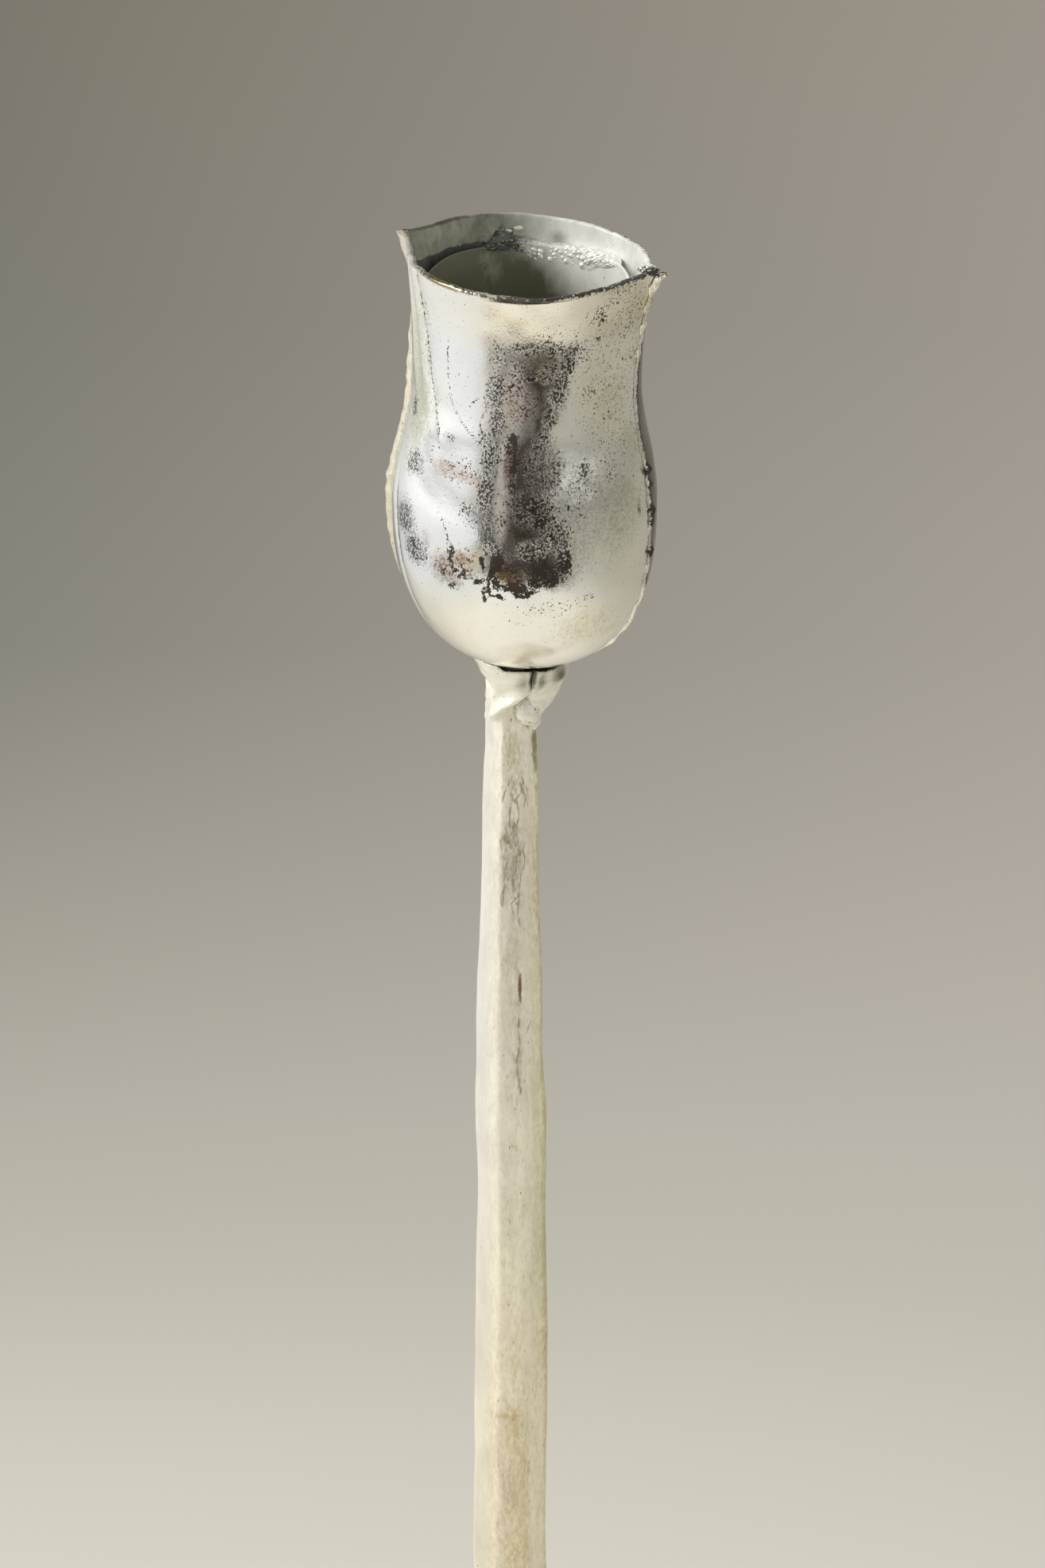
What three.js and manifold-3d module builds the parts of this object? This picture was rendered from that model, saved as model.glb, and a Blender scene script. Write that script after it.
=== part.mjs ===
// Taper candle holder: a tulip cup of two silver-leafed iron petals, brazed up the sides, closed round
// a candle socket and riveted to a forged eight-sided stem, which one screw holds to a round foot.
// Millimetres, +Z up. The origin is the centre of the felt under the foot, and -Y is the front.
import * as THREE from "three";
import { LoftGeometry } from "three/addons/geometries/LoftGeometry.js";
import { mergeGeometries, mergeVertices } from "three/addons/utils/BufferGeometryUtils.js";
import Module from "manifold-3d";

const wasm = await Module();
wasm.setup();
const { clamp, degToRad, lerp, smoothstep } = THREE.MathUtils;

// Clearances
const GAP = 0.3; // between pieces that filler metal or a rivet joins on the real object

// Candle socket, a length of tube with a disc let into its lower end
const CANDLE_BORE = 22.6; // takes the 22 mm butt of a taper candle
const SOCKET_WALL = 1.0;
const SOCKET_FLOOR = 1.5;
const SOCKET_FIT = 0.3; // between the socket and the petals, which are closed round it at the neck
const SOCKET_DROP = 2.8; // socket's rim below the petals' rim

// Petals, hammered from sheet
const SHEET = 0.8;
const BULGE_SWELL = 2.2; // bulge's radius over the neck's
const RIM_FLARE = 0.65; // rim's radius over the neck's
const RIM_ABOVE_NECK = 14.3;
const NECK_ABOVE_BULGE = 15.7;
const BOWL_DEPTH = 20.1; // from the bulge down to the underside
const BOWL_FULLNESS = 2.5; // exponent of the bowl's superellipse: 2 is an ellipse, more is fuller
const RIM_LEAN = 0.5; // the handmade rim is this much lower on the right, and higher on the left
const RIM_WAVE = 0.35; // and rises and falls by this, twice round
const TIP_REACH = 2.1; // how far the two tips are drawn out past the rim
const TIP_LIFT = 0.5;
const TIP_ANGLE = degToRad(8); // turn in which a tip dies away to about a third
const TIP_FADE = 2; // power by which a tip dies away down to the neck
const RIGHT_SEAM = degToRad(-20);
const LEFT_SEAM = degToRad(160); // at the rim
const LEFT_SEAM_TWIST = degToRad(14); // how far the left seam has come round to the front at the bulge
const SWAY_BOTTOM = 0.5; // the cup's axis wanders sideways from its middle at the bulge
const SWAY_NECK = 0.35;
const SWAY_RIM = 0.6;
const POLE_HEIGHT = 1.2; // below this the bowl's rings close in round the spigot instead

// Filler metal
const SEAM_WIDTH = 2.2;
const SEAM_HEIGHT = 0.46; // in the middle
const SEAM_EDGE = 0.1; // thickness along the sides
const SEAM_CLEAR = 0.7; // the side seams' filler starts this far out past the calyx
const SOCKET_BEAD_HEIGHT = 0.9;
const SOCKET_BEAD_START = degToRad(35);
const SOCKET_BEAD_END = degToRad(115);
const SOCKET_BEAD_TAPER = 0.1; // share of its swell that the bead lacks at each end

// Calyx, two forged sepals round the stem's spigot
const CALYX_HEIGHT = 9.2;
const CALYX_WALL = 0.6; // round the spigot at the calyx's waist, on its left
const CALYX_LEFT_TOP = 3.8; // reach from the stem's axis under the cup
const CALYX_RIGHT_TOP = 6.9;
const CALYX_RIGHT_SWELL = [0, 0.41, 0.77, 1, 1]; // shares of the way out to that, evenly up the calyx
const CALYX_SPLIT = degToRad(-63); // direction of the front slit
const CUP_OFFSET = 1.5; // the bulge's middle lies this far to the right of the stem's axis

// Stem, sizes across its flats
const STEM_LENGTH = 185.8; // from the foot to the shoulder under the calyx
const STEM_TOP = 6.0;
const STEM_SHOULDER = 8.2;
const STEM_MIDDLE = 8.9;
const STEM_FOOT = 9.4;
const SHOULDER_BELOW_TOP = 50;
const MIDDLE_BELOW_TOP = 110;
const SPIGOT_RADIUS = 1.6;
const RIVET_MARGIN = 1.0; // how far the spigot's end is hammered out past it, inside the cup
const RIVET_HEIGHT = 1.2;

// Foot and what holds it
const FOOT_DIAMETER = 98;
const FOOT_EDGE = 3; // thickness at the edge
const FOOT_WEB = 2.5; // thickness under the stem, which the screw goes through
const FOOT_CURVE = 1.6; // power of the rise from the edge to the middle: 1 is a cone, more is hollower
const SEAT_MARGIN = 1.9; // flat round the stem's corners
const SCREW_DIAMETER = 5;
const SCREW_ENGAGEMENT = 11; // length of screw inside the stem
const SCREW_HOLE_SPARE = 2; // depth of its hole past the screw's end
const SCREW_HEAD_RADIUS = 4.4;
const SCREW_HEAD_HEIGHT = 2.4;
const SLOT_WIDTH = 1.2;
const SLOT_DEPTH = 1.2;
const WASHER_THICKNESS = 0.8;
const WASHER_MARGIN = 0.6; // washer's radius over the screw head's
const FELT_THICKNESS = 1.5;
const FELT_INSET = 3; // foot's edge past the felt

// Mesh fineness
const PETAL_COLUMNS = 20;
const COLUMN_CROWDING = 0.7; // 0 spaces the columns evenly, and near 1 they crowd towards the seams
const BOWL_ROWS = 10;
const FLANK_ROWS = 13;
const ROUND_SIDES = 48;
const SMALL_SIDES = 24;
const STEM_ROWS = 12;
const CALYX_ROWS = 8;
const BEAD_COLUMNS = 16;
const ARC_STEPS = 6;
const CUT_MARGIN = 1; // how far cutting and joining bodies run past the faces that they meet

// Sizes that follow from those
const socketBoreRadius = CANDLE_BORE / 2;
const socketRadius = socketBoreRadius + SOCKET_WALL;
const neckRadius = socketRadius + SOCKET_FIT + SHEET;
const bulgeRadius = neckRadius + BULGE_SWELL;
const neckHeight = BOWL_DEPTH + NECK_ABOVE_BULGE;
const rimHeight = neckHeight + RIM_ABOVE_NECK;
const socketTop = rimHeight - SOCKET_DROP;
const candleSeat = BOWL_DEPTH; // the candle stands level with the bulge, where the cup is widest
const socketBottom = candleSeat - SOCKET_FLOOR;
const footRadius = FOOT_DIAMETER / 2;
const footBottom = FELT_THICKNESS;
const counterboreDepth = WASHER_THICKNESS + SCREW_HEAD_HEIGHT + GAP;
const footHeight = counterboreDepth + FOOT_WEB;
const stemBottom = footBottom + footHeight;
const calyxBottom = stemBottom + STEM_LENGTH;
const cupBottom = calyxBottom + CALYX_HEIGHT;
const screwHole = SCREW_DIAMETER / 2 + GAP;
const spigotHole = SPIGOT_RADIUS + GAP;
const washerRadius = SCREW_HEAD_RADIUS + WASHER_MARGIN;
const counterboreRadius = washerRadius + GAP;
const seamStartRadius = Math.max(CALYX_LEFT_TOP + CUP_OFFSET, CALYX_RIGHT_TOP - CUP_OFFSET) + SEAM_CLEAR;
const flatsToCorner = 0.5 / Math.cos(Math.PI / 8); // corner's radius of an octagon, by its size across flats
const seatRadius = STEM_FOOT * flatsToCorner + SEAT_MARGIN;

// Materials: silver leaf on iron, bright on the petals, duller in the socket and warmer down the stem
const leaf = (color, roughness) => new THREE.MeshStandardMaterial({ color, roughness, metalness: 1 });
const PETAL_LEAF = leaf(0xd6d3c6, 0.3);
const SOCKET_LEAF = leaf(0x9a9b90, 0.45);
const FILLER_LEAF = leaf(0xd2cdb8, 0.4);
const STEM_LEAF = leaf(0xd8d0b8, 0.45);
const FOOT_LEAF = leaf(0xd3cebb, 0.4);
const STEEL = leaf(0x8d9094, 0.35);
const FELT = new THREE.MeshStandardMaterial({ color: 0x2b2b2a, roughness: 1, metalness: 0 });

// Solids for cutting and joining
function solid(geometry) {
  for (const name of ["normal", "uv"]) geometry.deleteAttribute(name);
  const merged = mergeVertices(geometry, 1e-4);
  const vertProperties = merged.attributes.position.array;
  const triVerts = new Uint32Array(merged.index.array);
  return new wasm.Manifold(new wasm.Mesh({ numProp: 3, vertProperties, triVerts }));
}

function surface(body) {
  const mesh = body.getMesh();
  return new THREE.BufferGeometry()
    .setAttribute("position", new THREE.BufferAttribute(mesh.vertProperties, 3))
    .setIndex(new THREE.BufferAttribute(mesh.triVerts, 1));
}

// A round solid about Z from a closed outline of [radius, height] pairs, going round it anticlockwise.
function turned(outline, sides = ROUND_SIDES) {
  const points = [...outline, outline[0]].map(([r, z]) => new THREE.Vector2(r, z));
  return new THREE.LatheGeometry(points, sides).rotateX(Math.PI / 2);
}

function cylinder(radius, bottom, top, sides = SMALL_SIDES) {
  return new THREE.CylinderGeometry(radius, radius, top - bottom, sides)
    .rotateX(Math.PI / 2)
    .translate(0, 0, (bottom + top) / 2);
}

function closedLoft(sections) {
  return new THREE.BufferGeometry().copy(new LoftGeometry(sections, { capStart: true, capEnd: true }));
}

const steps = (count) => Array.from({ length: count + 1 }, (_, i) => i / count);
const curveThrough = (pairs) => new THREE.SplineCurve(pairs.map(([x, y]) => new THREE.Vector2(x, y)));

// A smooth run through evenly spaced values, as a function of 0 to 1.
function smoothRun(values) {
  const curve = curveThrough(values.map((value, i) => [i, value]));
  return (t) => curve.getPoint(t).y;
}

// The cup's shape, in a frame of its own: z is 0 at the underside, and the bulge's middle is on the axis.

// How far a height is on its way from the neck to the rim, from 0 to 1.
const riseToRim = (z) => clamp((z - neckHeight) / RIM_ABOVE_NECK, 0, 1);

// Outside of the wall as [radius, height] pairs from the spigot's hole to the rim: a superellipse up to the
// bulge, a half cosine in to the neck, and a parabola out to the rim.
function wallProfile() {
  const start = Math.asin((spigotHole / bulgeRadius) ** (BOWL_FULLNESS / 2));
  const power = 2 / BOWL_FULLNESS;
  const bowl = steps(BOWL_ROWS).map((u) => {
    const a = lerp(start, Math.PI / 2, u);
    return [bulgeRadius * Math.sin(a) ** power, BOWL_DEPTH * (1 - Math.max(0, Math.cos(a)) ** power)];
  });
  const flank = steps(FLANK_ROWS).slice(1).map((u) => {
    const z = lerp(BOWL_DEPTH, rimHeight, u);
    const inward = Math.min(1, (z - BOWL_DEPTH) / NECK_ABOVE_BULGE);
    const swell = BULGE_SWELL * 0.5 * (1 + Math.cos(Math.PI * inward));
    return [neckRadius + swell + RIM_FLARE * riseToRim(z) ** 2, z];
  });
  return [...bowl, ...flank];
}

// The profile moved out along its own normals, so a negative distance gives the inside of the sheet. Each
// [radius, height, level] keeps the level that it started from, which the seams, tips and sway go by.
function offsetProfile(profile, distance) {
  return profile.map(([r, level], i) => {
    const [r0, z0] = profile[Math.max(0, i - 1)];
    const [r1, z1] = profile[Math.min(profile.length - 1, i + 1)];
    const rise = i === 0 ? 0 : z1 - z0; // the sheet lies flat round the spigot
    const length = Math.hypot(r1 - r0, rise);
    return [r + (rise / length) * distance, level - ((r1 - r0) / length) * distance, level];
  });
}

const leftSeam = (z) => LEFT_SEAM + LEFT_SEAM_TWIST * (1 - riseToRim(z)) ** 2;

// Share of the tips' full reach at an angle and height: sharp at a seam, nothing below the neck.
function tipShare(angle, z) {
  const away = (seam) => Math.abs(Math.atan2(Math.sin(angle - seam), Math.cos(angle - seam)));
  const near = Math.min(away(RIGHT_SEAM), away(leftSeam(z)));
  return riseToRim(z) ** TIP_FADE * Math.exp(-near / TIP_ANGLE);
}

const wandering = smoothRun([SWAY_BOTTOM, 0, SWAY_NECK, SWAY_RIM]);

// Sideways place of the cup's axis at a height, which at the very bottom is the stem's axis.
function sway(z) {
  const heights = [0, BOWL_DEPTH, neckHeight, rimHeight];
  const shares = heights.slice(1).map((top, i) => clamp((z - heights[i]) / (top - heights[i]), 0, 1));
  const along = shares.reduce((sum, share) => sum + share) / shares.length;
  return lerp(-CUP_OFFSET, wandering(along), smoothstep(z, 0, POLE_HEIGHT));
}

// How far the wall is raised at an angle and height, for the uneven rim.
function unevenness(angle, z) {
  return -riseToRim(z) * (RIM_LEAN * Math.cos(angle) + RIM_WAVE * Math.sin(2 * angle));
}

// Point of the wall at an angle, from a [radius, height, level].
function wallPoint(angle, [r, z, level]) {
  const tip = tipShare(angle, level);
  const radius = r + TIP_REACH * tip;
  const height = z + TIP_LIFT * tip + unevenness(angle, level);
  return new THREE.Vector3(sway(level) + radius * Math.cos(angle), radius * Math.sin(angle), height);
}

const outerWall = offsetProfile(wallProfile(), 0);
const innerWall = offsetProfile(wallProfile(), -SHEET);

// One petal, lofted round from seam to seam: each section is the sheet's cut edge, up its inside and
// down its outside. Columns crowd towards the seams, where the tips turn sharply.
function petal(startSeam, endSeam) {
  const clear = (r) => Math.asin(Math.min(1, GAP / 2 / r));
  const section = (u) => {
    const crowded = u - (COLUMN_CROWDING * Math.sin(2 * Math.PI * u)) / (2 * Math.PI);
    const along = ([r, , level]) => lerp(startSeam(level) + clear(r), endSeam(level) - clear(r), crowded);
    const point = (station) => wallPoint(along(station), station);
    return [innerWall.map(point), outerWall.map(point)];
  };
  const sections = steps(PETAL_COLUMNS).map(section);
  const acrossEdge = (from, to) => new LoftGeometry(from.map((p, i) => [p, to[i]]), { closed: false });
  const [startInside, startOutside] = sections[0];
  const [endInside, endOutside] = sections[PETAL_COLUMNS];
  return mergeGeometries([
    new LoftGeometry(sections.map(([inside, outside]) => [...inside, ...outside.toReversed()])),
    acrossEdge(startInside, startOutside),
    acrossEdge(endOutside, endInside),
  ]);
}

// Filler metal laid over a seam: a low crowned strip that follows the wall from the bowl to the tip.
function seamFiller(seam) {
  const across = [-1, -0.5, 0, 0.5, 1];
  const thickness = (s) => lerp(SEAM_HEIGHT, SEAM_EDGE, s * s);
  const under = offsetProfile(wallProfile(), GAP);
  const over = across.map((s) => offsetProfile(wallProfile(), GAP + thickness(s)));
  const section = ([r, , level], row) => {
    const angles = across.map((s) => seam(level) + (s * SEAM_WIDTH) / 2 / r);
    return [
      ...angles.map((angle, i) => wallPoint(angle, over[i][row])).reverse(),
      ...angles.map((angle) => wallPoint(angle, under[row])),
    ];
  };
  const start = outerWall.findIndex(([r]) => r > seamStartRadius);
  return closedLoft(outerWall.map(section).slice(start).reverse());
}

// Bead of filler on the socket's rim, against the back petal: half an ellipse across.
function socketBead() {
  const above = innerWall.find(([, z]) => z > socketTop);
  const below = innerWall.findLast(([, z]) => z <= socketTop);
  const outside = Math.min(above[0], below[0]) - GAP;
  const middle = (socketBoreRadius + outside) / 2;
  const half = (outside - socketBoreRadius) / 2;
  const section = (u) => {
    const angle = lerp(SOCKET_BEAD_START, SOCKET_BEAD_END, u);
    const swell = Math.sin(Math.PI * lerp(SOCKET_BEAD_TAPER, 1 - SOCKET_BEAD_TAPER, u));
    return steps(ARC_STEPS).map((v) => {
      const r = middle - half * Math.cos(Math.PI * v);
      const z = socketTop + SOCKET_BEAD_HEIGHT * swell * Math.sin(Math.PI * v);
      return new THREE.Vector3(r * Math.cos(angle), r * Math.sin(angle), z);
    });
  };
  return closedLoft(steps(BEAD_COLUMNS).map(section));
}

// The bowl as one full solid, swollen by a clearance, for cutting its seat in the calyx.
function bowlSolid(clearance) {
  const rows = offsetProfile(wallProfile(), clearance).slice(0, BOWL_ROWS);
  const ring = (station) => steps(ROUND_SIDES).slice(1).map((u) => wallPoint(2 * Math.PI * u, station));
  return solid(closedLoft(rows.map(ring)));
}

// One sepal: half of a funnel that leans from the stem to the cup, bored for the spigot, hollowed to seat
// the bowl and split down the slit. side is 1 for the right half and -1 for the left.
function sepal(side) {
  const stemHalf = STEM_TOP / 2;
  const left = smoothRun([stemHalf, stemHalf, spigotHole + CALYX_WALL, CALYX_LEFT_TOP, CALYX_LEFT_TOP]);
  const right = smoothRun(CALYX_RIGHT_SWELL.map((share) => lerp(stemHalf, CALYX_RIGHT_TOP, share)));
  const top = CALYX_HEIGHT + 2 * GAP;
  const ring = (t) => {
    const middle = (right(t) - left(t)) / 2;
    const radius = (right(t) + left(t)) / 2;
    return steps(SMALL_SIDES).slice(1).map((u) => new THREE.Vector3(
      middle + radius * Math.cos(2 * Math.PI * u), radius * Math.sin(2 * Math.PI * u), top * t));
  };
  const funnel = solid(closedLoft(steps(CALYX_ROWS).map(ring)));
  const bore = solid(cylinder(spigotHole, -CUT_MARGIN, top + CUT_MARGIN));
  const bowl = bowlSolid(GAP).translate([CUP_OFFSET, 0, CALYX_HEIGHT]);
  const size = 4 * CALYX_RIGHT_TOP;
  const half = new THREE.BoxGeometry(size, size, size)
    .translate(side * (size / 2 + GAP / 2), 0, 0)
    .rotateZ(CALYX_SPLIT + Math.PI / 2);
  return surface(funnel.subtract(bore).subtract(bowl).intersect(solid(half)));
}

// Stem: eight-sided loft with a spigot through the calyx, a rivet head inside the cup and a screw hole.
function stem() {
  const width = curveThrough([
    [0, STEM_FOOT],
    [STEM_LENGTH - MIDDLE_BELOW_TOP, STEM_MIDDLE],
    [STEM_LENGTH - SHOULDER_BELOW_TOP, STEM_SHOULDER],
    [STEM_LENGTH, STEM_TOP],
  ]);
  const ring = (t) => {
    const { x: height, y: flats } = width.getPoint(t);
    return steps(8).slice(1).map((u) => {
      const angle = 2 * Math.PI * u + Math.PI / 8;
      const radius = flats * flatsToCorner;
      return new THREE.Vector3(radius * Math.cos(angle), radius * Math.sin(angle), height);
    });
  };
  const rivetRadius = SPIGOT_RADIUS + RIVET_MARGIN;
  const cupFloor = innerWall.find(([r]) => r > rivetRadius)[1];
  const rivetBottom = STEM_LENGTH + CALYX_HEIGHT + cupFloor + GAP;
  const rivetTop = rivetBottom + RIVET_HEIGHT;
  const bar = solid(closedLoft(steps(STEM_ROWS).map(ring)));
  const spigot = solid(cylinder(SPIGOT_RADIUS, STEM_LENGTH - CUT_MARGIN, rivetTop));
  const rivet = solid(cylinder(rivetRadius, rivetBottom, rivetTop));
  const hole = solid(cylinder(screwHole, -CUT_MARGIN, SCREW_ENGAGEMENT + SCREW_HOLE_SPARE));
  return surface(bar.add(spigot).add(rivet).subtract(hole));
}

// Foot: a disc with a round edge and a crowned top, a flat seat for the stem and a counterbore below.
function foot() {
  const edge = FOOT_EDGE / 2;
  const roundEdge = steps(ARC_STEPS).map((u) => {
    const a = lerp(-Math.PI / 2, Math.PI / 2, u);
    return [footRadius - edge + edge * Math.cos(a), edge + edge * Math.sin(a)];
  });
  const crown = steps(ARC_STEPS).slice(1).map((u) => {
    const r = lerp(footRadius - edge, seatRadius, u);
    return [r, lerp(FOOT_EDGE, footHeight, u ** FOOT_CURVE)];
  });
  return turned([
    [counterboreRadius, 0],
    ...roundEdge,
    ...crown,
    [screwHole, footHeight],
    [screwHole, counterboreDepth],
    [counterboreRadius, counterboreDepth],
  ]);
}

// Slotted screw, head down: z is 0 under the head's bearing face.
function screw(bearingToStem) {
  const shank = cylinder(SCREW_DIAMETER / 2, -SCREW_HEAD_HEIGHT / 2, bearingToStem + SCREW_ENGAGEMENT);
  const head = cylinder(SCREW_HEAD_RADIUS, -SCREW_HEAD_HEIGHT, 0);
  const slot = new THREE.BoxGeometry(4 * SCREW_HEAD_RADIUS, SLOT_WIDTH, 2 * SLOT_DEPTH)
    .translate(0, 0, -SCREW_HEAD_HEIGHT);
  return surface(solid(head).add(solid(shank)).subtract(solid(slot)));
}

const washer = () => turned([
  [screwHole, -WASHER_THICKNESS],
  [washerRadius, -WASHER_THICKNESS],
  [washerRadius, 0],
  [screwHole, 0],
], SMALL_SIDES);

const socketTube = () => turned([
  [socketBoreRadius, socketBottom],
  [socketRadius, socketBottom],
  [socketRadius, socketTop],
  [socketBoreRadius, socketTop],
]);

const socketDisc = () => cylinder(socketBoreRadius - GAP, socketBottom, candleSeat, ROUND_SIDES);

function named(name, geometry, material, z = 0) {
  const mesh = new THREE.Mesh(geometry, material);
  mesh.name = name;
  mesh.position.z = z;
  return mesh;
}

const rightSeam = () => RIGHT_SEAM;
const fullTurnBack = (z) => leftSeam(z) - 2 * Math.PI;

// The socket stands on the cup's axis at the neck.
const socket = new THREE.Group();
socket.position.x = SWAY_NECK;
socket.add(
  named("candle_socket", socketTube(), SOCKET_LEAF),
  named("socket_floor", socketDisc(), SOCKET_LEAF),
  named("socket_braze_bead", socketBead(), FILLER_LEAF),
);

const cup = new THREE.Group();
cup.position.set(CUP_OFFSET, 0, cupBottom);
cup.add(
  named("front_petal", petal(fullTurnBack, rightSeam), PETAL_LEAF),
  named("back_petal", petal(rightSeam, leftSeam), PETAL_LEAF),
  named("left_seam_braze", seamFiller(leftSeam), FILLER_LEAF),
  named("right_seam_braze", seamFiller(rightSeam), FILLER_LEAF),
  socket,
);

const washerTop = footBottom + counterboreDepth;
const screwBearing = washerTop - WASHER_THICKNESS;

const candleHolder = new THREE.Group();
candleHolder.add(
  named("felt_pad", cylinder(footRadius - FELT_INSET, 0, FELT_THICKNESS, ROUND_SIDES), FELT),
  named("foot", foot(), FOOT_LEAF, footBottom),
  named("foot_screw", screw(stemBottom - screwBearing), STEEL, screwBearing),
  named("foot_washer", washer(), STEEL, washerTop),
  named("stem", stem(), STEM_LEAF, stemBottom),
  named("left_sepal", sepal(-1), FILLER_LEAF, calyxBottom),
  named("right_sepal", sepal(1), FILLER_LEAF, calyxBottom),
  cup,
);

export default candleHolder;
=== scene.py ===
"""Taper candle holder: a tulip cup of two hammered petals in worn silver leaf, on a forged eight-sided stem.

Sizes are in millimetres until the meshes are made. +Z is up, -Y is the front and the felt lies on z = 0.
"""

import math

import bpy
import numpy as np
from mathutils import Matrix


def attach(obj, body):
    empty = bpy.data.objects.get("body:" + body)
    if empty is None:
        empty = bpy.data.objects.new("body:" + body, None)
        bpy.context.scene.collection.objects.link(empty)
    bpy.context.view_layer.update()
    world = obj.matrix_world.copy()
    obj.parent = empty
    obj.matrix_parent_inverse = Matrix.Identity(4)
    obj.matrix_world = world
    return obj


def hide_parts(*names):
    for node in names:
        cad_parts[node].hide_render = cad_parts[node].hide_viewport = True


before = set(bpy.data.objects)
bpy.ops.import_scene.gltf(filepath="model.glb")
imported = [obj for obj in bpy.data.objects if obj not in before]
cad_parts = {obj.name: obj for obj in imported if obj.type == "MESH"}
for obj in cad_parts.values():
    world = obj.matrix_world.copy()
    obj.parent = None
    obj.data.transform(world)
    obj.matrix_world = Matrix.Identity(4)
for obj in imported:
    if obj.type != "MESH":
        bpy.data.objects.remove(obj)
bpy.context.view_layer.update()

MM = 0.001

# Cup, in its own frame: z is 0 at its underside and the bulge's middle is on the axis
CUP_X = 1.5
CUP_Z = 202.5
SPIGOT_HOLE = 1.9
NECK_RADIUS = 13.4
BULGE_SWELL = 2.2
BULGE_RADIUS = NECK_RADIUS + BULGE_SWELL
RIM_FLARE = 0.65
BOWL_DEPTH = 20.1
NECK_ABOVE_BULGE = 15.7
RIM_ABOVE_NECK = 14.3
NECK_HEIGHT = BOWL_DEPTH + NECK_ABOVE_BULGE
RIM_HEIGHT = NECK_HEIGHT + RIM_ABOVE_NECK
BOWL_FULLNESS = 2.5
SHEET = 0.8
RIM_LEAN = 0.5
RIM_WAVE = 0.35
RIM_RIPPLE = 0.15
TIP_REACH = 2.1
TIP_LIFT = 0.5
TIP_ANGLE = 8.0
RIGHT_SEAM = -20.0
LEFT_SEAM = 160.0
LEFT_SEAM_TWIST = 14.0
SWAY = (0.5, 0.0, 0.35, 0.6)
POLE_HEIGHT = 1.2
SEAM_GAP = 0.3
LIP_HEIGHT = 0.22
FLARE_START = 44.4
RIM_BROWN = "#75643f"

# Rows and columns of a petal's grid, and the radius at which the filler along its seams begins
BOWL_ROWS, FLANK_ROWS, LIP_ROWS, PETAL_COLUMNS = 70, 112, 4, 210
SEAM_START = 6.2

# The camera's side of the turn, in degrees
FRONT = 270.0

# Socket, and the brazing metal run over its rim between two angles
SOCKET_X = CUP_X + 0.35
BORE_RADIUS = 11.3
SOCKET_RADIUS = 12.3
SOCKET_BOTTOM = 18.6
SOCKET_SEAT = 20.1
SOCKET_TOP = 47.3
SOCKET_MIDDLE = BORE_RADIUS + (SOCKET_RADIUS - BORE_RADIUS) / 2
BEAD_START, BEAD_END = 22.0, 119.0
RUN_DEPTH = 0.25

# Stem, foot and felt, in the object's frame
STEM_BOTTOM = 7.5
STEM_REACH = 4.1
FOOT_BOTTOM = 1.5
FOOT_HEIGHT = 6.0
FOOT_RADIUS = 49.0
FOOT_EDGE = 3.0
FELT_RADIUS = 46.0


def linear(code):
    """sRGB hex to linear light: the power curve of 2.4, with its straight foot."""
    parts = np.array([int(code[i:i + 2], 16) / 255 for i in (1, 3, 5)])
    parts = np.where(parts <= 0.04045, parts / 12.92, ((parts + 0.055) / 1.055) ** 2.4)
    return (*parts, 1.0)


def per_mm(size):
    """Texture scale on Object coordinates, in metres, whose features are about size millimetres."""
    return 1.0 / (size * MM)


def ease(value, low, high):
    """Smooth step: 0 up to low, 1 from high on, and 3t2 - 2t3 between them."""
    t = np.clip((value - low) / (high - low), 0.0, 1.0)
    return t * t * (3.0 - 2.0 * t)


def bell(value, middle, spread):
    """Bell curve of height 1 round middle."""
    return np.exp(-((value - middle) / spread) ** 2)


def turn_between(angle, other):
    """Signed turn in degrees from one angle to another, the short way round."""
    return (angle - other + 180.0) % 360.0 - 180.0


def near(angle, place, spread):
    """Bell curve of height 1 round a place on the turn, in degrees."""
    return bell(turn_between(angle, place), 0.0, spread)


def within(value, low, full, fading, gone):
    """Smooth share between two places: it rises from low to full and falls from fading to gone."""
    return ease(value, low, full) * (1.0 - ease(value, fading, gone))


def uneven(angle, height, seed, terms, turns, length):
    """Hand unevenness of spread 1: a sum of seeded cosines, with whole waves round the turn, up to turns of
    them, and waves no shorter than length along the height."""
    rng = np.random.default_rng(seed)
    total = np.zeros(np.broadcast(angle, height).shape)
    for _ in range(terms):
        waves = rng.integers(0, turns + 1)
        pace = rng.uniform(-1.0, 1.0) * 2.0 * math.pi / length
        total = total + np.cos(waves * np.radians(angle) + pace * height + rng.uniform(0.0, 2.0 * math.pi))
    return total * math.sqrt(2.0 / terms)


def full_turn(columns):
    """Angles of the columns of a closed turn, as one row."""
    return np.linspace(0.0, 360.0, columns, endpoint=False)[None, :]


def round_axis(radius, angle, height, middle=0.0):
    """Points at a radius, angle and height round an upright axis, which stands at middle along x."""
    turn = np.radians(angle)
    return np.stack(np.broadcast_arrays(middle + radius * np.cos(turn), radius * np.sin(turn), height), -1)


# Meshes from grids of points

def quads(rows, columns, start=0, closed_rows=False, closed_columns=False, flipped=False):
    """Corner numbers of a grid's faces: each point with the next along the row and the next row up."""
    i = np.arange(rows if closed_rows else rows - 1)[:, None]
    j = np.arange(columns if closed_columns else columns - 1)[None, :]
    up, along = (i + 1) % rows, (j + 1) % columns
    corners = [i * columns + j, i * columns + along, up * columns + along, up * columns + j]
    faces = np.stack([np.broadcast_to(c, (i.size, j.size)) for c in corners], -1).reshape(-1, 4) + start
    return faces[:, ::-1] if flipped else faces


def fan(ring, apex, flipped=False):
    """Triangles from a closed ring of point numbers to one apex."""
    faces = np.stack([ring, np.roll(ring, -1), np.full_like(ring, apex)], -1)
    return faces[:, ::-1] if flipped else faces


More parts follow.
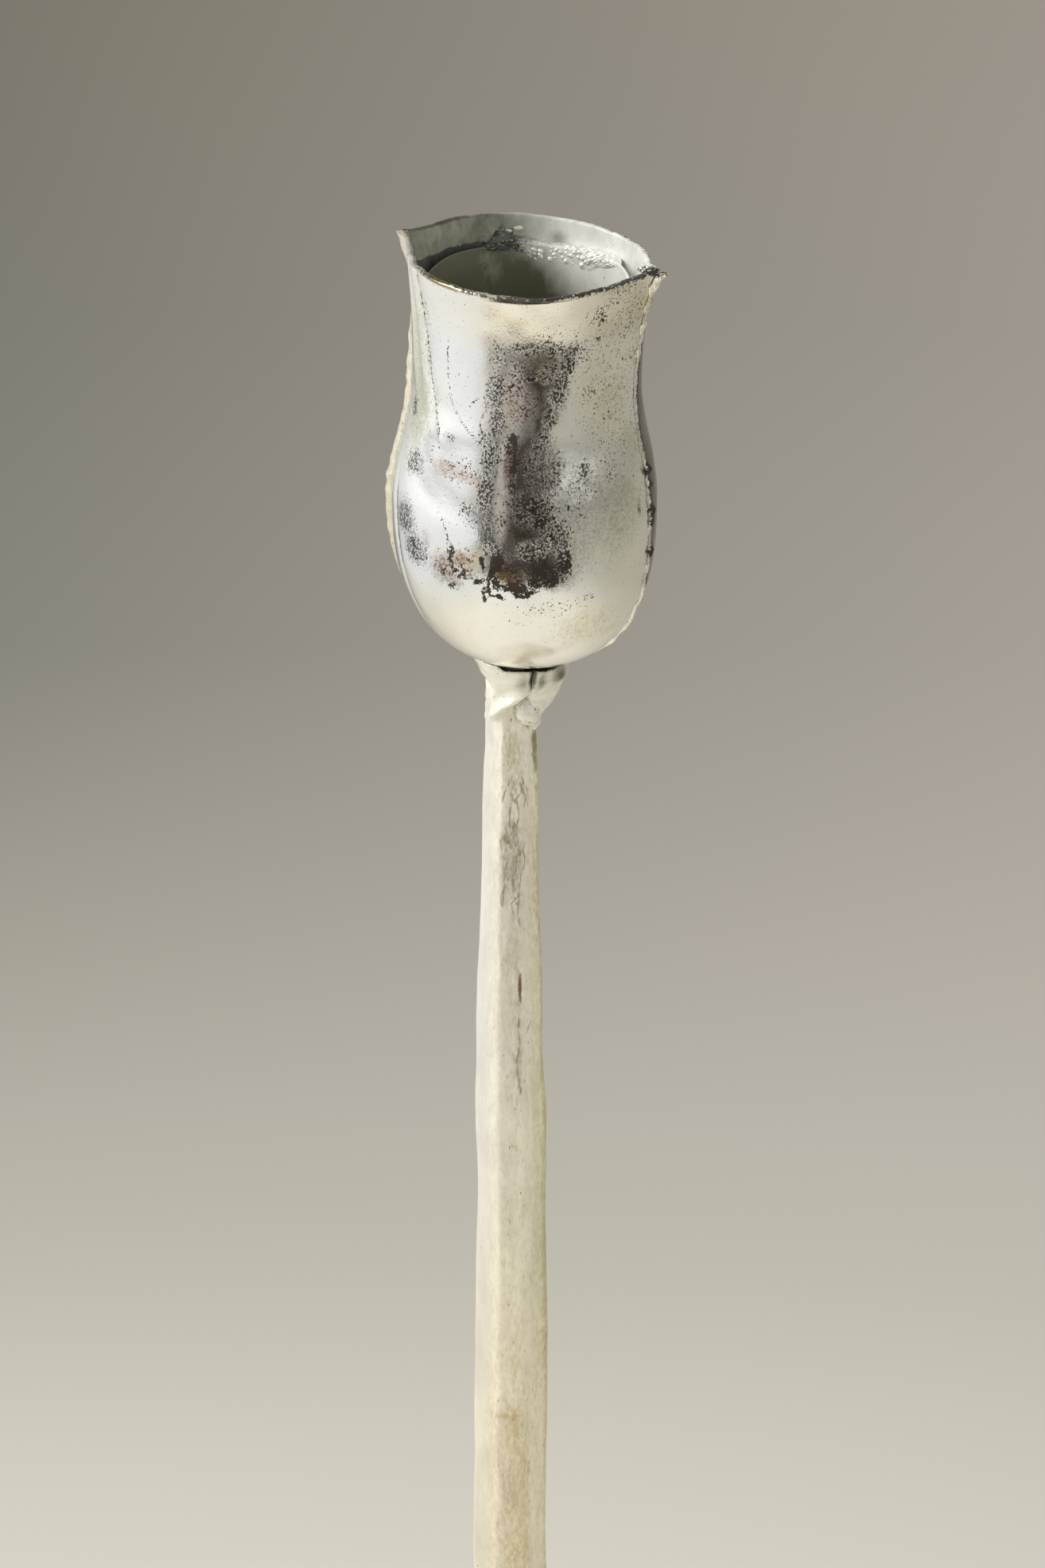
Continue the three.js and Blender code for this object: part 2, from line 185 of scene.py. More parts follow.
def capped(grid, low, high):
    """Points and faces of a grid closed round its turn, with a fan to a low end and one to a high end."""
    rows, columns = grid.shape[:2]
    ring, count = np.arange(columns), rows * columns
    faces = [(quads(rows, columns, closed_columns=True), 0), (fan(ring, count, flipped=True), 0),
             (fan(ring + count - columns, count + 1), 0)]
    return np.concatenate([grid.reshape(-1, 3), [low, high]]), faces


def with_ends(colours):
    """Colours of a capped grid: its own, and the first and the last again for its two ends."""
    flat = colours.reshape(-1, 4)
    return np.concatenate([flat, flat[[0, -1]]])


def piece(name, points, faces, materials, stands_for, paint=None):
    """One mesh object at the origin from points in millimetres, standing for a CAD node. faces are groups,
    each with its material's number, and paint gives each attribute's colours, point by point."""
    mesh = bpy.data.meshes.new(name)
    corners = [f for group, _ in faces for f in group.tolist()]
    mesh.from_pydata((points.reshape(-1, 3) * MM).tolist(), [], corners)
    mesh.polygons.foreach_set("use_smooth", np.ones(len(corners), bool))
    finish = np.concatenate([np.full(len(group), number) for group, number in faces])
    mesh.polygons.foreach_set("material_index", finish.astype(np.int32))
    mesh.set_sharp_from_angle(angle=math.radians(55))
    if paint and "stain_and_shade" not in paint:
        paint["stain_and_shade"] = np.tile([1.0, 1.0, 1.0, 0.0], (len(mesh.vertices), 1))
    for key, colours in (paint or {}).items():
        layer = mesh.attributes.new(key, "FLOAT_COLOR", "POINT")
        layer.data.foreach_set("color", colours.reshape(-1).astype(np.float32))
    for material in materials:
        mesh.materials.append(material)
    made = bpy.data.objects.new(name, mesh)
    bpy.context.scene.collection.objects.link(made)
    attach(made, "root")
    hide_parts(stands_for)
    return made


def shell(outside, inside):
    """Faces of a sheet with thickness: outside, inside turned over, and strips round all four edges."""
    rows, columns = outside.shape[:2]
    far = rows * columns
    row = np.arange(columns)
    col = np.arange(rows) * columns
    top, right = row + (rows - 1) * columns, col + columns - 1

    def strip(line, turned):
        a, b = (line[1:], line[:-1]) if turned else (line[:-1], line[1:])
        return np.stack([a, b, b + far, a + far], -1)

    return [
        (quads(rows, columns), 0),
        (quads(rows, columns, far, flipped=True), 1),
        (strip(row, True), 0), (strip(top, False), 0), (strip(col, False), 0), (strip(right, True), 0),
    ]


def sheet(name, sides, materials, stands_for, patinas, stains):
    """A thick piece from its outside and inside grids, each with its own patina, stains and painted shade."""
    points, patina, stain_and_shade = (
        np.concatenate([side.reshape(-1, side.shape[-1]) for side in pair])
        for pair in (sides, patinas, stains))
    piece(name, points, shell(*sides), materials, stands_for, {"patina": patina, "stain_and_shade": stain_and_shade})


# Cup

def rise_to_rim(level):
    """Share of the way from the neck up to the rim."""
    return np.clip((level - NECK_HEIGHT) / RIM_ABOVE_NECK, 0.0, 1.0)


def left_seam(level):
    """Angle of the left seam, which comes round by the square of the way from the rim down to the neck."""
    return LEFT_SEAM + LEFT_SEAM_TWIST * (1.0 - rise_to_rim(level)) ** 2


def right_seam(level):
    return np.full_like(level, RIGHT_SEAM)


def wall_profile():
    """Outside of the wall as radius, height and outward normal: a superellipse up to the bulge, a half cosine
    in to the neck, and a parabola out to the rim."""
    power = 2.0 / BOWL_FULLNESS
    a = np.linspace(math.asin((SPIGOT_HOLE / BULGE_RADIUS) ** (1.0 / power)), math.pi / 2, BOWL_ROWS)
    bowl_r = BULGE_RADIUS * np.sin(a) ** power
    bowl_z = BOWL_DEPTH * (1.0 - np.maximum(0.0, np.cos(a)) ** power)
    z = np.linspace(BOWL_DEPTH, RIM_HEIGHT, FLANK_ROWS + 1)[1:]
    inward = np.minimum(1.0, (z - BOWL_DEPTH) / NECK_ABOVE_BULGE)
    r = NECK_RADIUS + BULGE_SWELL * 0.5 * (1.0 + np.cos(math.pi * inward)) + RIM_FLARE * rise_to_rim(z) ** 2
    r, z = np.concatenate([bowl_r, r]), np.concatenate([bowl_z, z])
    dr, dz = np.gradient(r), np.gradient(z)
    dz[0] = 0.0
    size = np.hypot(dr, dz)
    return r, z, dz / size, -dr / size


def sway(level):
    """Sideways place of the cup's axis: a smooth run through four values, from the stem's axis."""
    heights = (0.0, BOWL_DEPTH, NECK_HEIGHT, RIM_HEIGHT)
    along = sum(np.clip((level - a) / (b - a), 0.0, 1.0) for a, b in zip(heights, heights[1:]))
    values = np.array((SWAY[0], *SWAY, SWAY[-1]))
    k = np.minimum(along.astype(int), 2)
    t = along - k
    p0, p1, p2, p3 = values[k], values[k + 1], values[k + 2], values[k + 3]
    v0, v1 = (p2 - p0) / 2, (p3 - p1) / 2
    run = (2 * p1 - 2 * p2 + v0 + v1) * t ** 3 + (-3 * p1 + 3 * p2 - 2 * v0 - v1) * t ** 2 + v0 * t + p1
    return -CUP_X + (run + CUP_X) * ease(level, 0.0, POLE_HEIGHT)


# The crease that the pinched left edge leaves down the front petal: angles by height
CREASE_HEIGHTS = (24, 28, 31.4, 33.9, 38.4, 45, 50)
CREASE_ANGLES = (228, 226, 222, 218, 212, 207, 201)


def off_crease(angle, level):
    """Millimetres from the crease, round to the right."""
    return np.radians(turn_between(angle, np.interp(level, CREASE_HEIGHTS, CREASE_ANGLES))) * NECK_RADIUS


def off_fold(angle, level):
    """Millimetres from the fold low on the left, round to the right."""
    return np.radians(turn_between(angle, 199.0 - 0.5 * (level - 14.0))) * BULGE_RADIUS


def hammering(angle, level):
    """How far the sheet is beaten out or in: broad and fine unevenness, the left crease and its ribs, the
    fold low on the left, the lip along the right edge, two dents and the flare under the rim."""
    broad = 0.035 * uneven(angle, level, 11, 14, 5, 18.0)
    fine = 0.010 * uneven(angle, level, 12, 22, 20, 4.0)
    away = off_crease(angle, level)
    crease = -0.22 * np.exp(-np.hypot(away, 0.25) / np.where(away < 0.0, 0.8, 1.3)) * ease(level, 26.0, 37.0)
    ribs = 0.2 * bell(away, -1.4, 0.9) - 0.1 * bell(away, -3.0, 0.7) + 0.14 * bell(away, -4.4, 0.8)
    ribs = ribs * ease(level, 31.0, 39.0)
    past_fold = off_fold(angle, level)
    fold = -0.16 * np.exp(-np.abs(past_fold) / np.where(past_fold < 0.0, 0.4, 1.2))
    fold = fold * within(level, 5.0, 9.0, 20.0, 30.0)
    past_lip = np.radians(turn_between(angle, RIGHT_SEAM)) * BULGE_RADIUS
    lip = 0.2 * np.exp(-np.abs(past_lip + 0.5) / 0.55) * (past_lip < 0.0)
    lip = lip * (1.0 - 0.6 * ease(level, 14.0, 20.0)) * (1.0 + 0.35 * uneven(0.0, level, 13, 10, 0, 2.4))
    dents = -0.32 * near(angle, 333.0, 4.0) * bell(level, 22.0, 2.2)
    dents = dents - 0.1 * near(angle, 322.0, 8.0) * bell(level, 19.0, 4.0)
    over_flare = level - FLARE_START
    flare = 0.048 * (over_flare + np.sqrt(over_flare ** 2 + 0.5)) * near(angle, 277.0, 50.0)
    return (broad + fine + crease + ribs + fold + lip + dents + flare) * ease(level, 0.6, 5.0)


def wall_points(angle, r, z, level):
    """Points of the wall: the radius drawn out at the tips, the height lifted at them and leaning and waving
    towards the rim, and the axis swaying."""
    rise = rise_to_rim(level)
    right, left = (np.abs(turn_between(angle, seam)) for seam in (RIGHT_SEAM, left_seam(level)))
    tip = np.maximum(rise ** 2.0 * np.exp(-right / TIP_ANGLE), rise ** 2.8 * np.exp(-left / TIP_ANGLE))
    turn = np.radians(angle)
    lean = RIM_LEAN * np.cos(turn) + RIM_WAVE * np.sin(2 * turn)
    lean = lean - RIM_RIPPLE * (1.0 - np.cos(4 * turn)) * ease(-np.sin(turn), -0.2, 0.5)
    height = z + TIP_LIFT * tip - rise * lean
    return round_axis(r + TIP_REACH * tip, angle, CUP_Z + height, CUP_X + sway(level))


def rim_edge(angle):
    """Ragged height of the cut rim: short uneven waves and a few nicks."""
    return 0.022 * uneven(angle, 0.0, 21, 18, 90, 1.0) + 0.04 * uneven(angle, 0.0, 22, 10, 24, 1.0)


def petal_sheet(start_seam, end_seam):
    """Outside and inside grids of one petal from seam to seam. Both are the wall's profile moved along its
    normals, beaten together, and rolled over by a quarter of an ellipse to meet along the rim."""
    r, z, nr, nz = (v[:, None] for v in wall_profile())
    u = np.linspace(0.0, 1.0, PETAL_COLUMNS)
    u = (u - 0.45 * np.sin(2 * math.pi * u) / (2 * math.pi))[None, :]
    clear = np.degrees(np.arcsin(np.minimum(1.0, SEAM_GAP / 2 / r)))
    begin, end = start_seam(z) + clear, end_seam(z) - clear
    angle = begin + (end - begin) * u
    level = np.broadcast_to(z, angle.shape)
    beat = hammering(angle, level)
    rim = angle[-1:]
    roll = np.linspace(0.0, math.pi / 2, LIP_ROWS + 1)[1:, None]
    lift = (LIP_HEIGHT + rim_edge(rim) + 0.32 * near(rim, 250.0, 34.0)) * np.sin(roll)
    sides = []
    for depth, beaten, inward in ((0.0, beat, 1.0), (SHEET, np.maximum(beat, -0.2), -1.0)):
        push = beaten - depth
        body = wall_points(angle, r + nr * push, z + nz * push, level)
        top = push[-1:] - inward * SHEET / 2 * (1.0 - np.cos(roll))
        lip = wall_points(rim, r[-1:] + nr[-1:] * top, z[-1:] + nz[-1:] * top + lift, level[-1:])
        sides.append(np.concatenate([body, lip]))
    angle = np.concatenate([angle, np.repeat(rim, LIP_ROWS, 0)])
    level = np.concatenate([level, np.repeat(level[-1:], LIP_ROWS, 0) + LIP_HEIGHT * np.sin(roll)])
    return (*sides, angle, level)


# Marks on the leaf, each at an angle and height with half sizes in millimetres and a strength. SPECKS are
# leaf gone to dark grains, RAGGED are patches rubbed through to the ground, and the stains are soft tints,
# a few of them painted dark reflection, as marked.
SPECKS = (
    (255.4, 42.7, 1.3, 2.3, 0.42), (267, 37.4, 2.6, 3.6, 0.42), (293, 43.4, 1.1, 1.2, 0.55),
    (290, 41.6, 1.1, 1.5, 0.6), (287, 39.6, 1.1, 1.6, 0.6), (284.4, 37.6, 1.1, 1.6, 0.6),
    (281.5, 35.4, 1, 1.6, 0.56), (254.8, 38.7, 1.4, 2.6, 0.56), (255.4, 34.8, 1.1, 2.6, 0.56),
    (253.2, 30.5, 1.3, 2.6, 0.52), (252.4, 26.3, 1.2, 2.8, 0.55), (254.8, 22.7, 1.1, 2.8, 0.42),
    (255.8, 19.8, 1.6, 1.3, 0.5), (263.4, 19.8, 1.6, 3.1, 0.36), (270.2, 43.9, 3.1, 1.2, 0.5),
    (283.8, 43.8, 1.9, 1.4, 0.48), (266.4, 41.4, 2.3, 1.8, 0.42), (280.2, 40.9, 2.1, 1.8, 0.48),
    (288.8, 42.1, 1.4, 1.8, 0.5), (284.4, 37.8, 1.6, 2, 0.46), (279.8, 34.9, 1.1, 2, 0.46),
    (271.2, 40.2, 1.1, 0.41, 0.62), (262.6, 39.2, 1.1, 0.6, 0.52), (278.2, 39.6, 0.63, 0.3, 0.56),
    (261.4, 32.1, 0.9, 1.7, 0.58), (264, 28.4, 0.69, 3.6, 0.6), (272.4, 29.3, 1.9, 3.8, 0.5),
    (275, 32.1, 1.4, 2.1, 0.48), (278.8, 33, 0.94, 0.75, 0.58), (269.8, 24.8, 2.2, 3, 0.62),
    (276.8, 23.3, 1.5, 1.3, 0.6), (280.4, 20.9, 1.9, 1.9, 0.56), (273.6, 19.8, 2.3, 1.8, 0.58),
    (286.8, 19.6, 1.1, 1.8, 0.55), (298.6, 28.5, 0.8, 1.6, 0.54), (300, 25.8, 1.1, 1.2, 0.38),
    (293.4, 26.1, 1.6, 3.6, 0.36), (310.6, 30.9, 3.5, 3.6, 0.3), (289.4, 24.6, 0.21, 0.23, 0.8),
    (313.4, 27.4, 1.1, 1.4, 0.38), (298.4, 42.7, 0.84, 1.4, 0.42), (306, 44.1, 0.47, 0.41, 0.62),
    (290.8, 43.8, 2.4, 0.9, 0.36), (301.6, 37.6, 1.3, 0.83, 0.44), (314.4, 34.4, 1.8, 0.99, 0.36),
    (337, 40.8, 1.6, 0.9, 0.46), (307, 46.8, 0.9, 1.4, 0.48), (313.4, 48.4, 2.5, 1.2, 0.38),
    (326, 45.5, 2.5, 3, 0.35), (325, 49.6, 2.7, 0.8, 0.38), (281.4, 45.5, 4.4, 0.8, 0.3),
    (279.6, 44.8, 0.44, 0.38, 0.62), (281.4, 43.4, 0.37, 0.6, 0.62), (280.4, 12.1, 5.1, 1.4, 0.28),
    (299.8, 12.7, 0.78, 0.64, 0.42), (208.6, 27.4, 2.2, 1.7, 0.42), (229.4, 31.8, 1.1, 0.71, 0.4),
    (238.6, 28.5, 2.9, 1.8, 0.35), (245, 24.2, 1.4, 1.3, 0.42), (197, 33.2, 1.2, 1.4, 0.54),
    (207, 20.4, 2.2, 2.6, 0.48), (215.6, 17.2, 2.3, 2.2, 0.48), (235.6, 17.2, 2.9, 1.8, 0.32),
    (248.5, 32.5, 0.9, 1.4, 0.44), (247.5, 28, 1.1, 1.6, 0.34), (246.5, 23, 1.3, 1.6, 0.34),
    (249.5, 37.5, 0.6, 2, 0.4), (282, 28.4, 1.7, 3.4, 0.44), (276.5, 24, 2.4, 3.4, 0.52),
    (285, 21.5, 1.6, 2.2, 0.48), (259, 22, 1.6, 3.2, 0.4),
)
RAGGED = (
    (281, 16.9, 2.7, 2.2, 0.58), (277, 18.4, 2.3, 1.8, 0.52), (286.6, 18.1, 1.1, 1.6, 0.58),
    (274, 15.3, 1.2, 1.1, 0.58), (289.4, 17.4, 0.5, 1.1, 0.68), (258.6, 18.3, 0.62, 1.6, 0.84),
    (257.8, 15.4, 0.5, 1.4, 0.66), (263.6, 14.9, 1.9, 0.55, 0.8), (268.2, 14.9, 1, 0.7, 0.68),
    (250.6, 15.5, 0.9, 0.4, 0.66), (251.6, 13.9, 0.35, 1.1, 0.58), (259.4, 13.6, 0.7, 0.65, 0.56),
    (268, 14, 1, 0.5, 0.66), (245, 18.4, 0.7, 1.4, 0.42), (236.8, 18.6, 0.6, 0.9, 0.62),
    (248.2, 18, 0.4, 1, 0.42), (236.8, 14.2, 1.2, 0.7, 0.44), (230, 16, 1.8, 1.4, 0.46),
    (241, 16.4, 1.8, 1.7, 0.48), (263.2, 32.7, 0.6, 0.8, 0.62), (265, 29.8, 0.6, 1.9, 0.6),
    (261.6, 31.2, 0.5, 0.8, 0.58), (275.2, 22.7, 0.9, 0.35, 0.68), (273.2, 26.1, 0.9, 0.45, 0.58),
    (276.8, 24.2, 0.75, 0.3, 0.6), (271.2, 40.2, 1.2, 0.35, 0.7), (263.2, 17.4, 1.8, 1.5, 0.5),
    (263.6, 16, 1.6, 1, 0.48), (340.5, 49.6, 0.8, 1.2, 0.6), (272, 25, 1.9, 2.8, 0.5),
    (205.5, 20.4, 1.9, 2.4, 0.5), (213.4, 17, 2.2, 2.2, 0.48), (208.6, 27.3, 1.7, 1.7, 0.47),
    (264.6, 30.5, 1, 2.6, 0.58),
)
STAINS_AND_REFLECTIONS = (
    (232.2, 28.2, 2.3, 1.1, 0.5, "#cdb8ac"), (241.2, 27.8, 1.3, 0.89, 0.45, "#cfae92"),
    (247.4, 27.5, 0.72, 0.71, 0.4, "#c9a683"), (208.8, 27.2, 1.9, 1.4, 0.5, "#a9aab2"),
    (205.5, 20.4, 2.3, 2.7, 0.52, "#8a8b96"), (213.4, 17.3, 2.5, 2.4, 0.5, "#918e98"),
    (200, 34, 3.4, 6.5, 0.6, "#c8c8ac"), (222.4, 18.9, 0.73, 1.6, 0.4, "#b09a9a"),
    (228.4, 31.7, 0.94, 0.71, 0.4, "#b9bac0"), (233.4, 16.2, 2.4, 2.2, 0.54, "#ad947c"),
    (241.8, 17.7, 1.5, 1.3, 0.6, "#b3967c"), (245.4, 16.8, 1, 1.2, 0.5, "#c4a27a"),
    (249.8, 18.2, 1, 1.3, 0.65, "#f3ecd8"), (236.2, 14.8, 1.4, 1, 0.48, "#96866e"),
    (262.2, 16.7, 1.4, 1.4, 0.75, "#a98a62"), (266.6, 15.8, 0.9, 0.9, 0.7, "#b7966a"),
    (281, 16.7, 2.1, 2, 0.7, "#4c3d31"), (277, 18.9, 1.9, 1.5, 0.5, "#6d6257"),
    (272, 26, 3.4, 6.5, 0.5, "#a89c94"), (281.5, 28.4, 2, 3.8, 0.6, "#8d8580"),
    (277, 24, 3, 3.6, 0.55, "#8c8279"), (286, 21, 2, 2.6, 0.5, "#8c8279"),
    (262.8, 29.6, 0.9, 3.4, 0.64, "#7d625d"), (263.2, 38, 1.2, 3.6, 0.5, "#e6dadb"),
    (259.4, 23.8, 0.8, 3, 0.5, "#f2ecea"), (254.2, 44.6, 2, 1.1, 0.4, "#fbf6e8"),
    (267.5, 37.6, 2.9, 3.8, 0.6, "#d3c6c3"), (276, 41.5, 3, 2.4, 0.6, "#c9bea9"),
    # The three darker stains from (288.6, 42.2) down to (280.4, 36.2) are a painted dark reflection along the
    # right edge of the dark band.
    (289.4, 24.5, 2.6, 4.4, 0.5, "#c0bbbd"), (288.6, 42.2, 1.5, 1.9, 0.55, "#6f6f62"),
    (284.2, 39, 1, 2, 0.5, "#736f68"), (280.4, 36.2, 0.8, 1.8, 0.45, "#78736d"),
    (299, 27.9, 1, 1.9, 0.46, "#a59ea2"), (313.6, 23.1, 5, 6, 0.5, "#c9cbc0"),
    (293.5, 21.5, 2.6, 5.5, 0.46, "#c6c4bf"), (314.4, 35.9, 3.9, 4.1, 0.4, "#dcd8c0"),
    (328.4, 29.6, 2.8, 3.4, 0.4, "#d6d8ce"), (314.8, 44.8, 4, 2.1, 0.4, "#d6d6bc"),
    (334.2, 46.3, 4.1, 3.2, 0.45, "#cdc8ae"), (317, 49.8, 3.5, 0.7, 0.4, "#cfc6ae"),
    (254.6, 48.2, 1.3, 0.83, 0.35, "#f0dcc0"), (266, 47.4, 1.8, 0.79, 0.35, "#e3d3b2"),
    # The stains at (312.6, 7.5) and (300, 8.6), low on the right of the bowl, are a painted darker
    # reflection.
    (275.8, 45.4, 2.7, 0.6, 0.35, "#dfd2b2"), (312.6, 7.5, 3, 1.6, 0.35, "#d9d3b8"),
    (300, 8.6, 4.6, 2.8, 0.4, "#d3cdb8"), (190, 38, 5, 12, 0.5, "#e2e1cb"),
    (184, 41.4, 0.9, 0.9, 0.85, "#c2ab62"), (190, 36.5, 1.6, 4.3, 0.35, "#e8e4d2"),
    (210.5, 39.6, 0.8, 3, 0.45, "#cfcbb4"), (216.4, 35.7, 0.94, 2.8, 0.35, "#d6d2bf"),
    # The long dark stain at 352 degrees paints a dark reflection on the strip of the back petal beyond the
    # right seam.
    (352, 25, 2.9, 26, 0.97, "#45433a"), (305, 38.5, 4.4, 5.6, 0.32, "#e2dab8"),
)
# Haze on the outside, a matte bloom that scatters light, each as the marks above
HAZED = (
    (263.5, 42, 2.2, 2.4, 0.45), (275, 42.2, 3, 2, 0.45), (267, 37.2, 2.6, 4.2, 0.55),
    (275, 37.4, 2.2, 2.8, 0.35), (262, 24.6, 0.9, 3, 0.45), (268.5, 27, 2.4, 4.2, 0.1),
    (271, 21.4, 3.6, 2.4, 0.15), (252.6, 32, 1.8, 10, 0.42), (259.4, 29, 0.9, 8, 0.7),
    (263, 38, 1.7, 4.8, 0.95), (259.2, 24, 0.8, 3.6, 0.85), (255.5, 42, 1.3, 2.4, 0.55),
    (254.2, 44.4, 2, 1.2, 0.6), (249.6, 18.3, 1.2, 1.3, 0.85), (187, 44, 3.6, 8.5, 0.55),
    (180, 27, 2, 9, 0.25), (84, 37, 6, 8, 0.55), (122, 20, 5, 6, 0.5), (30, 22, 4, 7, 0.5),
    (140, 42, 3, 4, 0.45),
)

# Fine cracks in the leaf, as angles and heights along each
CRACKS = (
    ((226.6, 43.4), (226, 41.4), (226.4, 38.4), (228.8, 36.1), (233, 34.7), (238.6, 33.4), (244.4, 32.3)),
    ((250.4, 36.6), (247, 35.1), (245.8, 33.6), (246.8, 32.4)), ((231.8, 22.5), (234.2, 21.2), (236, 19.6)),
    ((262.8, 42.4), (263.8, 40.4), (266.6, 39.9), (271.6, 40.1)),
    ((219.8, 30.2), (220.8, 28.8), (221.2, 27.5)), ((203.2, 27.8), (205, 26.6), (206.2, 25.4)),
    ((298.6, 47.8), (297.6, 47.1), (299.4, 46.2)), ((305, 47.4), (303.4, 46.5), (301.8, 45.9)),
    ((322.4, 40.8), (329.4, 40.5), (339.2, 39.4)), ((215, 31.5), (217.8, 30.4), (220.2, 29.3)),
    ((196, 35.2), (198.5, 33.9), (198, 32.6)), ((336.5, 39.4), (336.5, 37), (336, 34.6)),
    ((299.8, 46.2), (302.8, 47), (304.8, 48.1)), ((239.8, 36.2), (245.2, 37.4)),
    ((262.2, 10.4), (269.4, 9.7)), ((272.2, 33.5), (273.8, 32.1), (273.2, 28.4)),
    ((242.2, 24.1), (246.4, 24.5)),
)

# Black roots of bare ground through and under the ragged patch, in the same way
ROOTS = (
    ((258, 19.8), (256.4, 18.7), (255.2, 16.8), (254.2, 15.3), (253.6, 14)),
    ((248, 15.2), (254, 15.5), (263, 14.9), (272.6, 14.2)), ((253.6, 14), (258, 13.8), (260.6, 13.2)),
    ((272.6, 14.2), (270.4, 13.8), (266.4, 13.9), (265, 14.7)), ((258.6, 18.9), (257, 17.3), (255.6, 16.4)),
    ((252.6, 14.5), (251.8, 12.9)), ((251.4, 18.6), (252, 16.9)),
    ((272.2, 18.9), (274.2, 17.4), (272.6, 15.8), (276.8, 15.1)),
    ((278.2, 15.3), (281.6, 15.9), (285.8, 16.5), (288, 17.8), (289.4, 19)),
    ((236.2, 17.8), (237.6, 16.3), (240.6, 15.7)),
    ((263.2, 33.5), (264.6, 31.6), (264.2, 29.3), (265.8, 27)), ((261.4, 32.7), (265.2, 33.1)),
)


def off_cracks(angle, level, cracks, radius):
    """Millimetres to the nearest crack, by the distance to each straight stretch of it."""
    nearest = np.full(angle.shape, 99.0)
    for crack in cracks:
        for (a0, z0), (a1, z1) in zip(crack, crack[1:]):
            x = np.radians(turn_between(angle, a0)) * radius
            along, climb = np.radians(a1 - a0) * radius, z1 - z0
            t = np.clip((x * along + (level - z0) * climb) / (along ** 2 + climb ** 2), 0.0, 1.0)
            nearest = np.minimum(nearest, np.hypot(x - t * along, level - z0 - t * climb))
    return nearest


def scattered(count, seed, lowest, highest):
    """Rows of seeded values between two rows of limits."""
    return tuple(map(tuple, np.random.default_rng(seed).uniform(lowest, highest, (count, len(lowest)))))


# The back petal, which the photograph hides, is worn in the same way
SPECKS = SPECKS + scattered(70, 201, (4.0, 5.0, 0.5, 0.8, 0.22), (152.0, 50.0, 3.0, 4.0, 0.50))
RAGGED = RAGGED + scattered(26, 202, (6.0, 9.0, 0.3, 0.3, 0.38), (150.0, 48.0, 2.2, 1.8, 0.60))
STAINS_AND_REFLECTIONS = STAINS_AND_REFLECTIONS + tuple((*row, code) for row, code in zip(
    scattered(27, 203, (6.0, 7.0, 1.2, 1.4, 0.20), (150.0, 49.0, 5.0, 5.5, 0.50)),
    9 * ("#d3c6bb", "#d2c3a4", "#b4b5bb")))


def mark(angle, level, place, height, half_width, half_height):
    """One soft oval mark along the turn and the height: 1 in its middle, half of it at its half sizes."""
    across = np.radians(turn_between(angle, place)) * NECK_RADIUS
    return np.exp(-0.7 * ((across / half_width) ** 2 + ((level - height) / half_height) ** 2) ** 1.5)


def strongest(angle, level, table):
    """Strongest of a table of marks."""
    total = np.zeros(angle.shape)
    for place, height, half_width, half_height, strength in table:
        total = np.maximum(total, strength * mark(angle, level, place, height, half_width, half_height))
    return total


def stained(angle, level, table):
    """Tint and amount of a table of stains, the later ones laid over the earlier."""
    colour = np.ones((*angle.shape, 4))
    colour[..., 3] = 0.0
    for place, height, half_width, half_height, strength, code in table:
        share = strength * mark(angle, level, place, height, half_width, half_height)
        weight = (share / (share + (1.0 - share) * colour[..., 3] + 1e-6))[..., None]
        colour[..., :3] = colour[..., :3] * (1.0 - weight) + np.array(linear(code)[:3]) * weight
        colour[..., 3] = np.maximum(colour[..., 3], share)
    return colour


def lined(tint, share, code):
    """A tint with a line of another colour laid over it by its share."""
    tint[..., :3] = tint[..., :3] + (np.array(linear(code)[:3]) - tint[..., :3]) * share[..., None]
    tint[..., 3] = np.maximum(tint[..., 3], share)
    return tint


def rim_tint(angle, level):
    """Share of the brown line round the rim, strongest at the back left."""
    left = np.maximum(near(angle, 140.0, 22.0), near(angle, 222.0, 18.0))
    return ease(level, RIM_HEIGHT - 0.12, RIM_HEIGHT + 0.06) * (0.35 + 0.5 * left)


def petal_tint(angle, level):
    """Stains of a petal's outside, with the grey line down the crease and the dark one along the fold."""
    tint = stained(angle, level, STAINS_AND_REFLECTIONS)
    tint = lined(tint, 0.5 * bell(off_crease(angle, level), 0.0, 0.2) * ease(level, 27.0, 33.0), "#8a8874")
    tint = lined(tint, rim_tint(angle, level), RIM_BROWN)
    fold = bell(off_fold(angle, level), 0.2, 0.35) * within(level, 12.0, 15.0, 22.0, 26.0)
    return lined(tint, 0.8 * fold, "#6d6d74")


def layers(shape, *values):
    """Four values, single or arrays, as the colours of one attribute."""
    return np.stack([np.broadcast_to(v, shape) for v in values], -1)


def unstained(shape):
    """Stain colours that leave the leaf as it is."""
    return layers(shape, 1.0, 1.0, 1.0, 0.0)


